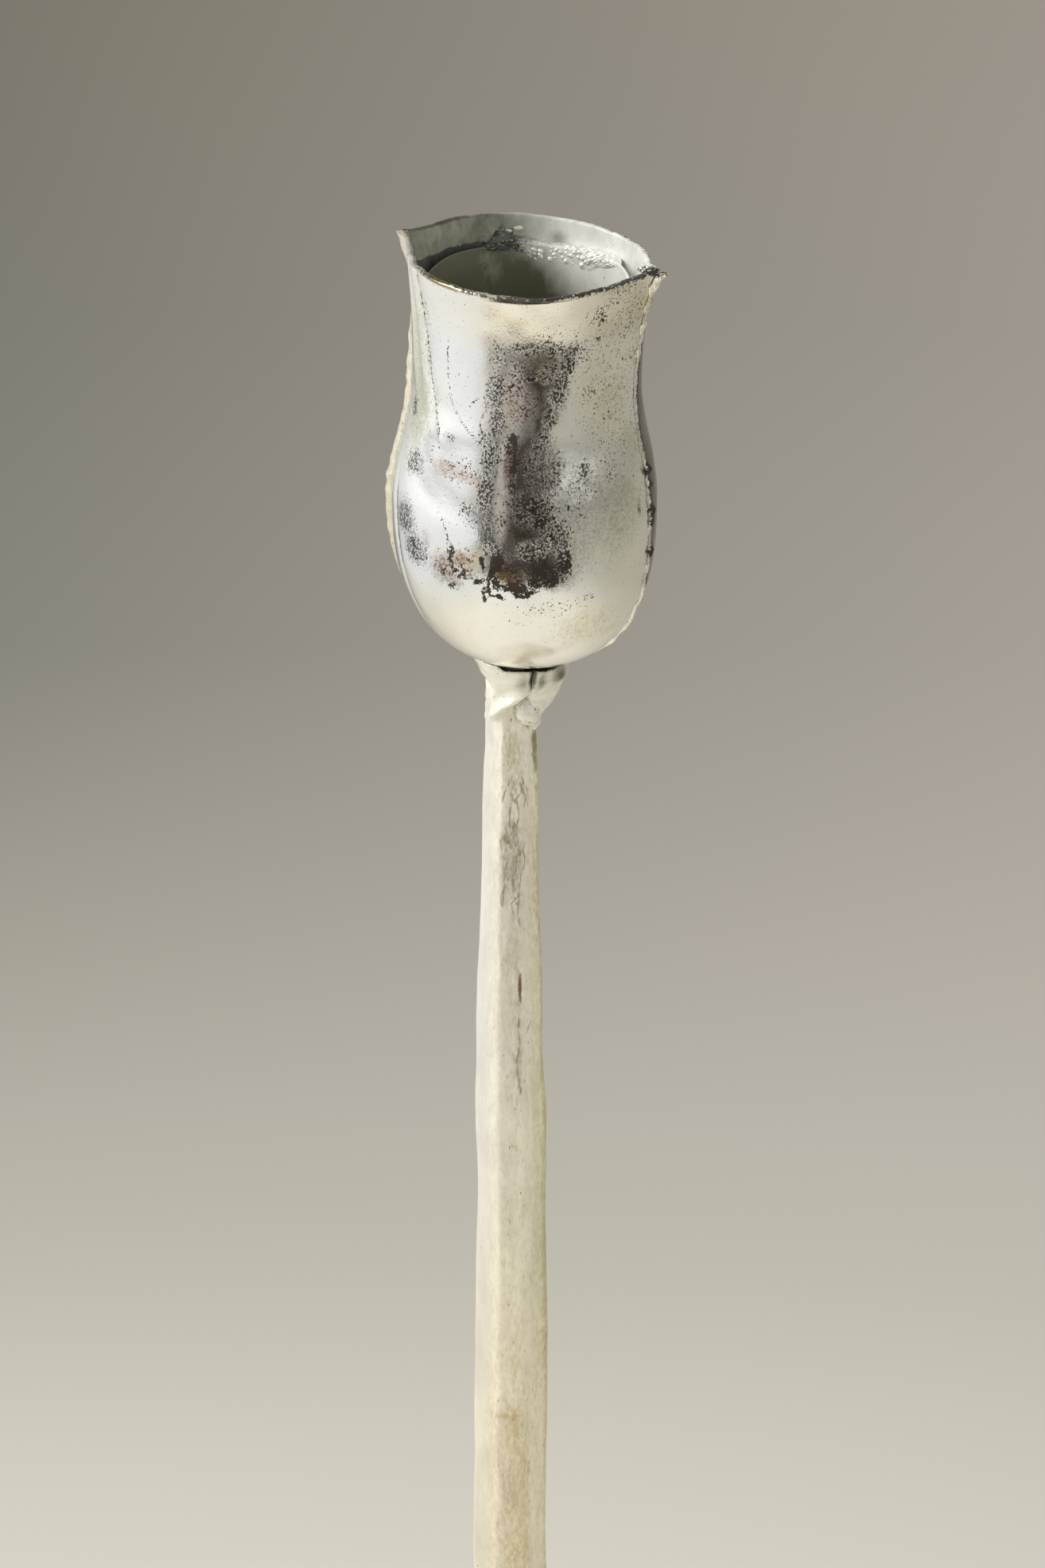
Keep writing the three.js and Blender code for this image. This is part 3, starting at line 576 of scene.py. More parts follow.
def petal_patina(angle, level, inside):
    """Patina of a petal by place: specks, ragged patches, cream and dullness, in that order."""
    front, turn = turn_between(angle, FRONT), angle % 360.0
    if inside:
        specks = 0.06 + 0.22 * near(angle, 112.0, 14.0) * (1.0 - ease(level, 46.0, 49.0))
        # The grey spot high on the inside at 75 degrees is a painted shadow.
        dull = 0.6 * near(angle, 75.0, 4.5) * bell(level, 47.8, 0.9)
        dull = dull + 0.72 * within(turn, 78.0, 104.0, 220.0, 290.0)
        cream = 0.3 * ease(turn, 70.0, 110.0)
        # Below the socket's rim at the back left the inside goes to bare dark ground: painted shade in the
        # gap between the petal and the socket.
        shade = (1.0 - ease(level, 46.95, 47.35)) * within(turn, 106.0, 116.0, 220.0, 240.0)
        # The dark patch at 104 degrees round the socket's rim height is dark brazing with painted shade of
        # its hollow.
        ragged = np.maximum(0.8 * near(angle, 104.0, 8.0) * bell(level, 47.6, 1.2), 0.85 * shade)
    else:
        away = off_crease(angle, level)
        clean = 0.7 * bell(front, 26.0, 14.0) * ease(level, 43.5, 46.5)
        worn = 0.15 * within(front, 12.0, 40.0, 95.0, 120.0) * ease(level, 23.0, 34.0) * (1.0 - clean)
        specks = np.maximum.reduce([
            strongest(angle, level, SPECKS), 0.05 + 0.06 * ease(level, 13.0, 19.0) + worn,
            0.5 * bell(off_cracks(angle, level, CRACKS, NECK_RADIUS), 0.0, 0.22),
            0.52 * bell(away, 0.10, 0.30) * ease(level, 27.0, 33.0),
            0.38 * bell(away, 1.0, 0.8) * bell(level, 46.0, 2.4)])
        ragged = np.maximum.reduce([
            strongest(angle, level, RAGGED), 0.8 * (1.0 - ease(level, 0.5, 0.8)),
            0.86 * bell(off_cracks(angle, level, ROOTS, BULGE_RADIUS), 0.0, 0.30),
            0.5 * ease(front, -10.0, 25.0) * ease(level, RIM_HEIGHT - 0.6, RIM_HEIGHT)])
        ragged = ragged * (1.0 - ease(front, 140.0, 150.0))
        dull = np.maximum(0.18 * ease(front, 25.0, 70.0), strongest(angle, level, HAZED))
        cream = np.maximum.reduce([
            ease(level, 42.5, 46.5) * (0.3 + 0.7 * ease(front, -50.0, -20.0)),
            0.6 * (1.0 - ease(level, 11.0, 14.5)), 0.35 * ease(front, 10.0, 50.0)])
    edge = 0.3 * ease(front, -80.0, -60.0) + 0.22 * ease(front, -24.0, 4.0)
    edge = 0.15 + edge * (1.0 - ease(front, 70.0, 84.0))
    ragged = np.maximum(ragged, edge * ease(level, RIM_HEIGHT - 0.02, RIM_HEIGHT + 0.10))
    return layers(angle.shape, specks, ragged, cream, dull)


# Materials

def feed(made, feeds):
    """Give a node's inputs, each a value, another node's output, or a node, for its first output in use."""
    for key, value in feeds.items():
        if isinstance(value, bpy.types.Node):
            value = next(out for out in value.outputs if out.enabled)
        if isinstance(value, bpy.types.NodeSocket):
            made.id_data.links.new(value, made.inputs[key])
        else:
            made.inputs[key].default_value = value


def node(tree, kind, feeds=None, **settings):
    """Add one shader node of a kind, with its properties as settings and its inputs as feeds."""
    made = tree.nodes.new("ShaderNode" + kind)
    for name, value in settings.items():
        setattr(made, name, value)
    feed(made, feeds or {})
    return made


def new_material(name):
    """An empty node material, with its tree and its surface shader."""
    material = bpy.data.materials.new(name)
    material.use_nodes = True
    tree = material.node_tree
    return material, tree, tree.nodes["Principled BSDF"]


CLOUD_SIZE = 6.0


def silver_leaf(name, bright, cream, dull, ground, metal, rough, grain, flake, streak, mottle, bump):
    """Silver leaf laid over a black-brown ground on iron, then rubbed: a bright metal with soft haze, warmer,
    duller and stained by place, gone to fine dark specks and, in ragged patches, down to the ground. grain
    and flake are the sizes in mm of the specks and of the patches' edges, streak is how much longer they are
    upwards, and mottle is how strongly the dullness varies with them."""
    material, tree, shader = new_material(name)
    place = node(tree, "TexCoord").outputs["Object"]
    drawn = node(tree, "Mapping", {"Vector": place, "Scale": (1.0, 1.0, 1.0 / streak)})
    paint = node(tree, "Attribute", attribute_name="patina")
    speck_share, ragged_share, cream_share = node(tree, "SeparateColor", {"Color": paint}).outputs
    # This attribute carries stains, and on some pieces painted shade and painted reflection as well.
    stain_and_shade = node(tree, "Attribute", attribute_name="stain_and_shade")
    grains, crumbs, flakes, clouds = [
        node(tree, "TexNoise", {
            "Vector": drawn, "Scale": per_mm(size), "Detail": detail, "Roughness": much, "Distortion": bent})
        for size, detail, much, bent in (
            (grain, 2.0, 0.6, 0.0), (1.5 * grain, 2.0, 0.6, 0.0), (flake, 8.0, 0.72, 1.2),
            (CLOUD_SIZE, 4.0, 0.6, 0.0))]

    def broken(amount, by_grain, by_crumb, by_flake, low, high):
        """Amount broken up by grains, crumbs and flakes, each round its middle, cut between two levels."""
        swing = -0.5 * (by_grain + by_crumb + by_flake)
        for noise, much in ((grains, by_grain), (crumbs, by_crumb), (flakes, by_flake)):
            swing = node(tree, "Math", {0: noise, 1: much, 2: swing}, operation="MULTIPLY_ADD")
        total = node(tree, "Math", {0: amount, 1: swing}, operation="ADD")
        return node(tree, "MapRange", {
            "Value": total, "From Min": low, "From Max": high}, interpolation_type="SMOOTHSTEP")

    specks = broken(speck_share, 1.2, 1.4, 0.5, 0.45, 0.55)
    ragged = broken(ragged_share, 0.3, 0.6, 2.2, 0.47, 0.51)
    worn = node(tree, "MapRange", {"Value": ragged_share, "From Min": 0.15, "From Max": 0.4})
    ragged = node(tree, "Math", {0: ragged, 1: worn}, operation="MULTIPLY")
    lost = node(tree, "Math", {0: specks, 1: ragged}, operation="MAXIMUM")
    tinted = broken(stain_and_shade.outputs["Alpha"], 0.3, 0.7, 0.7, 0.10, 0.75)
    clouded = node(tree, "Math", {0: clouds, 1: 1.0, 2: -0.44}, operation="MULTIPLY_ADD")
    mottled = node(tree, "Math", {0: flakes, 1: mottle, 2: -0.5 * mottle}, operation="MULTIPLY_ADD")
    clouded = node(tree, "Math", {0: clouded, 1: mottled}, operation="ADD")
    hazed = node(tree, "Math", {0: paint.outputs["Alpha"], 1: clouded}, operation="ADD", use_clamp=True)

    leaf = node(tree, "Mix", {0: cream_share, 6: linear(bright), 7: linear(cream)}, data_type="RGBA")
    leaf = node(tree, "Mix", {0: hazed, 6: leaf, 7: linear(dull)}, data_type="RGBA")
    soaked = node(tree, "Mix", {0: tinted, 6: leaf, 7: stain_and_shade}, data_type="RGBA", blend_type="MULTIPLY")
    rusty = node(tree, "MapRange", {"Value": clouds, "From Min": 0.4, "From Max": 0.7, "To Max": 0.15})
    earth = node(tree, "Mix", {0: rusty, 6: linear(ground), 7: stain_and_shade}, data_type="RGBA")
    clear = node(tree, "MapRange", {
        "Value": hazed, "From Min": 0.3, "From Max": 0.95, "To Min": metal, "To Max": 0.3 * metal})
    haze = node(tree, "Math", {0: hazed, 1: 0.14, 2: rough}, operation="MULTIPLY_ADD")
    relief = node(tree, "Math", {0: flakes, 1: 0.8, 2: crumbs}, operation="MULTIPLY_ADD")
    relief = node(tree, "Math", {0: lost, 1: -0.15, 2: relief}, operation="MULTIPLY_ADD")
    rougher = node(tree, "MapRange", {
        "Value": speck_share, "From Min": 0.3, "From Max": 0.6, "To Min": 0.5 * bump, "To Max": 1.0})
    feed(shader, {
        "Base Color": node(tree, "Mix", {0: lost, 6: soaked, 7: earth}, data_type="RGBA"),
        "Metallic": node(tree, "Mix", {0: lost, 2: clear, 3: 0.3 * metal}),
        "Roughness": node(tree, "Math", {0: lost, 1: 0.25, 2: haze}, operation="MULTIPLY_ADD"),
        "Normal": node(tree, "Bump", {"Strength": rougher, "Distance": 0.1 * MM, "Height": relief})})
    return material


# The leaf's finishes: bright, cream and dull tones, and the ground under them
PETAL_LEAF = silver_leaf(
    "silver_leaf_on_hammered_iron", "#f4f4f3", "#fffaec", "#dfd9d1", "#2d2521",
    metal=1.0, rough=0.13, grain=0.18, flake=0.9, streak=1.15, mottle=0.2, bump=0.22)
INSIDE_LEAF = silver_leaf(
    "matte_silver_leaf_inside_the_cup", "#f9f9f4", "#f1ecdb", "#646650", "#15130f",
    metal=0.12, rough=0.36, grain=0.3, flake=1.5, streak=1.6, mottle=0.5, bump=0.4)
STEM_LEAF = silver_leaf(
    "champagne_leaf_on_forged_iron", "#f1eee1", "#f1e7d0", "#b3aa9a", "#3a3027",
    metal=0.06, rough=0.34, grain=0.26, flake=1.5, streak=2.4, mottle=0.35, bump=0.2)
SEPAL_LEAF = silver_leaf(
    "glossy_champagne_leaf", "#f3f1e6", "#eee6ce", "#6e7060", "#2a231d",
    metal=0.12, rough=0.16, grain=0.26, flake=1.0, streak=1.0, mottle=0.5, bump=0.3)
BRAZE_LEAF = silver_leaf(
    "silvered_brazing_metal", "#fafaf5", "#f2eee2", "#5c5e55", "#1d1b18",
    metal=0.18, rough=0.24, grain=0.2, flake=0.7, streak=1.0, mottle=0.4, bump=0.4)
FOOT_LEAF = silver_leaf(
    "silver_leaf_on_planished_foot", "#f8f6f0", "#f5eedc", "#d4cfc0", "#352b25",
    metal=0.12, rough=0.32, grain=0.28, flake=1.6, streak=1.0, mottle=0.6, bump=0.3)


def zinc_steel():
    """Zinc-plated steel for the screw and washer: a cool grey metal with a fine turned haze."""
    material, tree, shader = new_material("zinc_plated_steel")
    place = node(tree, "TexCoord").outputs["Object"]
    haze = node(tree, "TexNoise", {"Vector": place, "Scale": per_mm(0.6), "Detail": 4.0})
    tone = node(tree, "Mix", {0: haze, 6: linear("#85898c"), 7: linear("#b4b7b8")}, data_type="RGBA")
    rough = node(tree, "MapRange", {"Value": haze, "To Min": 0.28, "To Max": 0.5})
    feed(shader, {"Base Color": tone, "Roughness": rough, "Metallic": 1.0})
    return material


def wool_felt():
    """Pressed wool felt: matte charcoal with short matted fibres, lighter and darker."""
    material, tree, shader = new_material("pressed_wool_felt")
    place = node(tree, "TexCoord").outputs["Object"]
    fibres = node(tree, "TexNoise", {
        "Vector": place, "Scale": per_mm(0.7), "Detail": 6.0, "Roughness": 0.75, "Distortion": 1.5})
    tone = node(tree, "Mix", {0: fibres, 6: linear("#1f1f1e"), 7: linear("#4a4946")}, data_type="RGBA")
    bumped = node(tree, "Bump", {"Strength": 0.6, "Distance": 0.2 * MM, "Height": fibres})
    feed(shader, {"Base Color": tone, "Normal": bumped, "Roughness": 0.95, "Sheen Weight": 0.3})
    return material


ZINC_STEEL = zinc_steel()
WOOL_FELT = wool_felt()


# Petals

def make_petal(name, start_seam, end_seam):
    """A petal's sheet with its patina, outside and inside."""
    outside, inside, angle, level = petal_sheet(start_seam, end_seam)
    inner_tint = lined(unstained(angle.shape), rim_tint(angle, level), RIM_BROWN)
    sheet(name + "_leafed", (outside, inside), [PETAL_LEAF, INSIDE_LEAF], name,
          [petal_patina(angle, level, within_cup) for within_cup in (False, True)],
          [petal_tint(angle, level), inner_tint])


make_petal("front_petal", lambda z: left_seam(z) - 360.0, right_seam)
make_petal("back_petal", right_seam, left_seam)


def make_seam(name, seam, width, height, seed, dark_heights, rim_ragged, pale, blobs):
    """Filler metal over a seam: a crowned strip that follows the wall, its height falling with the square of
    the distance from the middle, lumpy along its length and swelling at its blobs. pale is how far it is
    smoother and creamier than bare filler."""
    r, z, nr, nz = (v[:, None] for v in wall_profile())
    keep = slice(int(np.argmax(r > SEAM_START)), None)
    r, z, nr, nz = r[keep], z[keep], nr[keep], nz[keep]
    s = np.linspace(-1.0, 1.0, 15)[None, :]
    wide = 1.0 + (0.10 - 0.06 * pale) * uneven(0.0, z, seed, 12, 0, 2.2)
    wide = width * (wide + 0.08 * uneven(0.0, z, seed + 1, 8, 0, 7.0))
    angle = seam(z) + np.degrees(s * wide / 2 / r)
    level = np.broadcast_to(z, angle.shape)
    lumps = 1.0 + (0.25 - 0.18 * pale) * uneven(angle * 4.0, z, seed + 2, 16, 6, 1.6)
    swell = sum(size * bell(z, at, half) for at, half, size in blobs)
    under = hammering(angle, level) - 0.05
    over = under + 0.08 + (height + swell) * (1.0 - s * s) * np.maximum(0.25, lumps)
    sides = [wall_points(angle, r + nr * push, z + nz * push, level) for push in (over, under)]
    low, high = dark_heights
    dark = within(level, low - 3.0, low, high - 3.0, high)
    ragged = 0.85 * dark * ease(s, -0.9, 0.1) + 0.45 * dark * swell / 0.3
    ragged = np.maximum(ragged, rim_ragged * ease(level, RIM_HEIGHT - 1.4, RIM_HEIGHT))
    patina = layers(angle.shape, 0.10 + 0.1 * dark, ragged, 1.0 - 0.5 * dark, 0.05 + 0.3 * dark + 0.35 * pale)
    tint = lined(stained(angle, level, STAINS_AND_REFLECTIONS), np.full(angle.shape, 0.5 * pale), "#efebd8")
    sheet(name + "_lumpy", sides, 2 * [PETAL_LEAF], name, 2 * [patina], 2 * [tint])


make_seam("left_seam_braze", left_seam, 1.9, 0.3, 41, (0.0, 1.0), 0.2, 1.0, (
    (30.0, 0.5, 0.06), (28.4, 0.45, 0.08), (27.0, 0.5, 0.06), (39.5, 0.9, 0.12), (49.0, 1.4, 0.24),
    (35.0, 6.0, 0.38), (18.0, 9.0, 0.48)))
make_seam("right_seam_braze", right_seam, 1.5, 0.17, 51, (12.0, 43.0), 0.58, 0.0, (
    (25.6, 0.9, 0.45), (23.8, 0.5, 0.25), (20.4, 1.6, 0.34), (15.6, 0.6, 0.36), (49.6, 1.2, 0.45)))


# Socket

def make_socket():
    """The tube: its section goes up the outside, over a rounded rim and down the bore."""
    half, middle, rows = (SOCKET_RADIUS - BORE_RADIUS) / 2, SOCKET_MIDDLE, 30
    roll = np.linspace(0.0, math.pi, 9)[1:-1]
    up = np.linspace(SOCKET_BOTTOM, SOCKET_TOP - half, rows)
    radius = np.concatenate([
        np.full(rows, SOCKET_RADIUS), middle + half * np.cos(roll), np.full(rows, BORE_RADIUS)])
    height = np.concatenate([up, SOCKET_TOP - half + half * np.sin(roll), up[::-1]])
    radius = middle + (radius - middle) * (1.0 - 0.6 * ease(height, SOCKET_TOP - 2.2, SOCKET_TOP - 0.4))
    angle, radius, height = full_turn(192), radius[:, None], height[:, None]
    bore = (radius < middle) * ease(height, 22.0, 30.0)
    radius = radius + 0.05 * uneven(angle, height, 61, 12, 5, 12.0) * bore
    level = height + 0.07 * uneven(angle, 0.0, 62, 10, 9, 1.0) * ease(height, 40.0, 47.0)
    # Painted shade in the bore: the leaf goes dull and dark from the back round to the left, behind an edge
    # that slants with the height, and all round deeper down.
    lean = angle - 5.0 * (level - 42.5)
    dull = 0.02 + 0.98 * ease(lean, 46.0, 86.0) * (1.0 - ease(angle, 250.0, 320.0))
    dull = np.maximum(dull, 1.0 - ease(level, 38.0, 43.5))
    patina = layers(level.shape, 0.04 + 0.14 * (1.0 - ease(level, 26.0, 40.0)), 0.0, 0.2, dull)
    piece("candle_socket_tube", round_axis(radius, angle, CUP_Z + level, SOCKET_X),
          [(quads(*level.shape, closed_rows=True, closed_columns=True), 0)], [INSIDE_LEAF],
          "candle_socket", {"patina": patina})


def make_socket_floor():
    """The disc the candle stands on: flat with a fillet of filler climbing its edge, closed by a fan."""
    radius = np.concatenate([np.linspace(0.8, 9.4, 14), np.linspace(9.7, 11.2, 8)])[::-1]
    height = SOCKET_SEAT + 0.75 * ease(radius, 9.4, 11.4) ** 1.5
    radius = np.concatenate([[10.9, 11.2], radius])[:, None]
    height = np.concatenate([[SOCKET_BOTTOM + 0.1, SOCKET_BOTTOM + 0.3], height])[:, None]
    points, faces = capped(
        round_axis(radius, full_turn(96), CUP_Z + height, SOCKET_X),
        [SOCKET_X, 0.0, CUP_Z + SOCKET_BOTTOM + 0.1], [SOCKET_X, 0.0, CUP_Z + SOCKET_SEAT])
    piece("socket_floor_disc", points, faces, [INSIDE_LEAF], "socket_floor",
          {"patina": np.tile([0.26, 0.12, 0.2, 0.6], (len(points), 1))})


def pebbled(across, along, size_range, count, seed, spans):
    """Round pebbles heaped on a surface laid out in millimetres: each a dome of a seeded size and place, and
    the highest dome wins."""
    heap = np.zeros(np.broadcast(across, along).shape)
    for x, y, size in scattered(count, seed, (0.0, 0.0, size_range[0]), (*spans, size_range[1])):
        dome = 1.0 - ((across - x) ** 2 + (along - y) ** 2) / size ** 2
        heap = np.maximum(heap, size * np.sqrt(np.maximum(0.0, dome)))
    return heap


def make_socket_bead():
    """Brazing metal run over the socket's rim, from the bore to the petal: across it each section is a Bezier
    curve of five points that hugs the bore, drooping where it ran and climbing the petal where it was heaped.
    Low pebbles stand on it in the bore, and it shrinks to nothing at both ends."""
    angle = np.linspace(BEAD_START, BEAD_END, 340)[None, :]
    s = np.linspace(0.0, 1.0, 72)[:, None]
    ends = 0.12 + 0.88 * within(angle, BEAD_START, 36.0, 110.0, BEAD_END)
    droop = 0.6 + 2.5 * within(angle, 30.0, 62.0, 78.0, 100.0) + 0.2 * uneven(angle, 0.0, 71, 10, 40, 1.0)
    climb = 1.3 * bell(angle, 102.0, 7.0) + 0.5 * bell(angle, 91.0, 3.0)
    climb = climb + 0.1 * uneven(angle, 0.0, 73, 10, 40, 1.0)
    share = [math.comb(4, k) * s ** k * (1.0 - s) ** (4 - k) for k in range(5)]
    r = sum(w * reach for w, reach in zip(share, (11.40, 11.36, 11.14, 12.9, 13.2))) + 0.0 * angle
    z = sum(w * lift for w, lift in zip(share, (-droop, -0.45 * droop, 0.7, 0.3 + climb, climb - 0.4)))
    heap = pebbled(np.radians(angle - BEAD_START) * 12.0, s * 6.0, (0.09, 0.36), 430, 72, (20.4, 6.0))
    dr, dz = np.gradient(r, axis=0), np.gradient(z, axis=0)
    slope = np.hypot(dr, dz)
    out = 0.8 * heap * ease(s, 0.0, 0.25) * (1.0 - 0.75 * ease(s, 0.45, 0.65))
    r, z = r - out * dz / slope, z + out * dr / slope
    sides = []
    for swell in (1.0, 0.35):
        reach = SOCKET_MIDDLE + (r - SOCKET_MIDDLE) * ends * swell
        height = SOCKET_TOP - RUN_DEPTH + (z + RUN_DEPTH) * ends * swell
        sides.append(round_axis(reach, angle, CUP_Z + height, SOCKET_X)[::-1])
    low = 1.0 - ease(heap, 0.05, 0.2)
    # At 104 degrees the brazing is dark, with painted shade of the hollow there laid over it.
    hollow = bell(angle, 104.0, 8.0) * ease(z, -0.2, 0.4) * (1.0 - 0.6 * ease(z, 1.0, 1.4))
    dim = ease(angle, 80.0, 98.0)
    dull = 0.12 * low * ease(s, 0.1, 0.4) + 0.8 * dim
    dull = dull + 0.4 * ease(s, 0.45, 0.65) * ease(angle, 56.0, 74.0) * (1.0 - dim)
    ragged = np.maximum(0.54 * hollow, 0.52 * ease(angle, 84.0, 99.0))
    patina = layers(z.shape, 0.04 + 0.12 * low, ragged, 0.2, dull)[::-1]
    sheet("socket_braze_run", sides, 2 * [BRAZE_LEAF], "socket_braze_bead",
          2 * [patina], 2 * [unstained(z.shape)])


def make_drop(name, stands_for, leaf, middle, sizes, relief, ragged, seed):
    """A drop of metal: an ellipsoid round a middle point with low pebbles, its dark patches on its front."""
    angle = full_turn(96)
    v = np.linspace(-0.5 * math.pi, 0.5 * math.pi, 50)[1:-1, None]
    size, middle = max(sizes), np.array(middle)
    heap = pebbled(np.radians(angle) * size, (v + 0.5 * math.pi) * size, (0.16, 0.42), 160, seed,
                   (2.0 * math.pi * size, math.pi * size))
    swell = 1.0 + relief * (heap - 0.2) / size * np.cos(v) ** 0.5
    way = round_axis(np.cos(v), angle, np.sin(v))
    up = np.array([0.0, 0.0, sizes[2]])
    points, faces = capped(way * np.array(sizes) * swell[..., None] + middle, middle - up, middle + up)
    dark = ragged * ease(-way[..., 1] - 0.6 * way[..., 2], -0.5, 0.4)
    patina = layers(dark.shape, 0.22 + 0.3 * dark, dark, 0.4, 0.1)
    piece(name, points, faces, [leaf], stands_for, {"patina": with_ends(patina)})


make_drop("right_tip_drop", "right_seam_braze", BRAZE_LEAF,
          (15.7, -4.9, CUP_Z + 50.6), (1.0, 0.6, 0.5), 1.0, 0.42, 75)
make_drop("right_tip_end", "right_seam_braze", PETAL_LEAF,
          (16.7, -5.5, CUP_Z + 50.0), (0.7, 0.5, 0.6), 0.6, 0.46, 77)
for name, angle, reach, level, size, seed in (
        ("braze_lump", 91.5, 12.8, 47.0, 0.6, 78), ("braze_glint_a", 93.0, 13.05, 48.75, 0.22, 79),
        ("braze_glint_b", 98.5, 13.1, 48.45, 0.2, 80)):
    make_drop(name, "socket_braze_bead", BRAZE_LEAF,
              round_axis(reach, angle, CUP_Z + level, CUP_X), (1.5 * size, 0.7 * size, size), 1.2, 0.1, seed)


make_socket()
make_socket_floor()
make_socket_bead()


# Stem: reach of its left and right sides from the axis, by height below the cup's underside
STEM_HEIGHTS = (
    -195, -150, -119.8, -106.5, -97.7, -88.9, -80.2, -71.6, -67.3, -58.8, -50.3, -41.8, -37.6, -25.1, -16.8,
    -11.4, -7.8, -3,
)
STEM_LEFT = (
    4.75, 4.8, 4.75, 4.55, 4.53, 4.52, 4.3, 4.1, 4.18, 4.45, 4.25, 4.04, 3.84, 3.53, 3.42, 3.13, 3.03, 2.9,
)
STEM_RIGHT = (
    4.65, 4.4, 4.15, 4.15, 4.35, 4.29, 4.18, 4.08, 4.07, 4.07, 3.62, 3.67, 3.57, 3.12, 3.18, 3.08, 2.9, 2.8,
)


def stem_radius(angle, level):
    """Radius of the forged bar: eight flats, each at its own slowly wandering distance, joined by a mean of
    high power so that the corners between them stay soft."""
    left = np.interp(level, STEM_HEIGHTS, STEM_LEFT)
    right = np.interp(level, STEM_HEIGHTS, STEM_RIGHT)
    middle = (left + right) / 2
    power = 30.0
    total = np.zeros(np.broadcast(angle, level).shape)
    for k in range(8):
        facing = np.cos(np.radians(turn_between(angle, 45.0 * k)))
        share = math.cos(math.radians(45.0 * k))
        reach = middle + (right - middle) * max(share, 0.0) + (left - middle) * max(-share, 0.0)
        reach = reach * (1.0 if k % 2 == 0 else 0.965)
        reach = reach + 0.035 * uneven(0.0, level, 80 + k, 10, 0, 10.0)
        reach = reach + 0.012 * uneven(0.0, level, 90 + k, 10, 0, 3.5)
        total = total + (np.maximum(facing, 0.0) / reach) ** power
    return total ** (-1.0 / power)


def dented(angle, level, dents, radius, spread=1.0):
    """Marks beaten into a round bar or sheet: the sum of soft ovals, each of its own height."""
    total = 0.0
    for place, height, half_width, half_height, depth in dents:
        across = np.radians(turn_between(angle, place)) * radius / (spread * half_width)
        total = total + depth * np.exp(-across ** 2 - ((level - height) / (spread * half_height)) ** 2)
    return total


# Nicks, lumps and hammer marks on the stem: angle, height, half width, half height, height of the mark
STEM_DENTS = (
    (293, -22.8, 0.7, 1, 0.22), (284, -22, 0.35, 1.1, -0.25), (286, -24.6, 1.6, 0.25, -0.1),
    (255, -22.5, 0.5, 0.6, -0.1), (284, -40.4, 0.3, 0.8, -0.16), (286, -43.4, 0.35, 0.7, -0.14),
    (300, -47.2, 0.9, 0.35, -0.14), (282, -51, 0.5, 4, -0.04), (258, -78.4, 1.6, 0.3, -0.12),
    (266, -99.3, 2.4, 0.4, -0.1), (220, -104, 0.9, 1.6, 0.14), (280, -66, 0.7, 5, -0.08),
    (232, -64, 1.8, 5.5, 0.1), (110, -30, 1.2, 3, -0.12), (60, -70, 1.5, 4, -0.12), (140, -120, 1.6, 3, 0.1),
    (20, -140, 1.3, 3.2, -0.12), (250, -150, 1.6, 3.5, -0.12), (310, -165, 1.4, 3, 0.1),
)


# Stains on the stem, each at an angle and height with half sizes, a strength and a tint; two of them are
# painted shade, as marked
STEM_STAINS_AND_SHADE = tuple((FRONT + turn * STEM_REACH / NECK_RADIUS, *rest) for turn, *rest in (
    (-68, -100, 3, 160, 0.75, "#edeef3"), (2, -75, 2.5, 80, 0.3, "#e4dbc6"),
    (0, -24.5, 1.9, 6, 0.52, "#c2baae"), (4, -40, 1.6, 14, 0.34, "#d4cdc0"),
    (12, -50, 0.6, 8, 0.45, "#bcae98"), (14.5, -41.8, 0.22, 1.7, 0.95, "#7e5836"),
    (-16, -22.5, 0.4, 0.5, 0.6, "#a08a66"),
    (-8, -78.4, 1.5, 0.35, 0.6, "#d0b878"), (-4, -99.3, 2, 0.4, 0.6, "#d0b878"),
    # The second stain here darkens the right facet along its length: painted shade.
    (50, -60, 1.5, 70, 0.4, "#e6dfc4"), (72, -60, 1, 80, 0.6, "#cfc7a6"), (6, -115, 2.2, 30, 0.45, "#dccca4"),
    # The second stain here is brown spots with painted shade under the right sepal.
    (60, -32, 0.5, 4, 0.45, "#c8b288"), (64, -11, 0.9, 4, 0.75, "#8f8a70"), (2, -12, 1.9, 6, 0.46, "#bfb7a0"),
))


# Fine brown cracks in the leaf on the stem, as angles and heights along each, and a seeded set of the same
STEM_CRACKS = (
    ((280.2, -17.3), (285.6, -19.4), (278.8, -21.4), (285.6, -24.5)), ((266.9, -17.6), (265.6, -20.9)),
    ((258.9, -22), (256.2, -23.5), (261.6, -24.2), (278.8, -24.8), (296.9, -24.4)),
    ((299.9, -23.2), (292.6, -24), (299.9, -25.1), (295.5, -26.6)),
    ((252.1, -25.1), (256.1, -28.2), (252, -31.3)),
    ((289.7, -26.6), (285.6, -29.2), (281.5, -32.4), (285.6, -33.9)),
    ((285.6, -40.2), (284.2, -41.8), (286.9, -44.1)), ((298.5, -48.1), (304.8, -47.3), (311.6, -46.7)),
    ((281.4, -45.8), (284.2, -49.2), (278.7, -51.4), (284.2, -55.6)), ((273.5, -26.1), (270.8, -30.3)),
)
STEM_CRACKS = STEM_CRACKS + tuple(
    ((a, z), (a + b, z - 0.9), (a + c, z - 1.9), (a + b + c, z - 3.2))
    for a, z, b, c in scattered(20, 211, (252.0, -32.0, -9.0, -14.0), (298.0, -14.5, 9.0, 14.0)))


# The spigot above the bar, and its end spread inside the cup
SPIGOT_HEIGHTS = (-3.2, -3.1, -1.0, 1.2, 1.25, 1.5, 2.0, 2.35)
SPIGOT_REACH = (2.0, 1.6, 1.6, 1.6, 2.6, 2.6, 2.2, 1.2)
BAR_TOP, RIVET_TOP = -3.4, 2.45


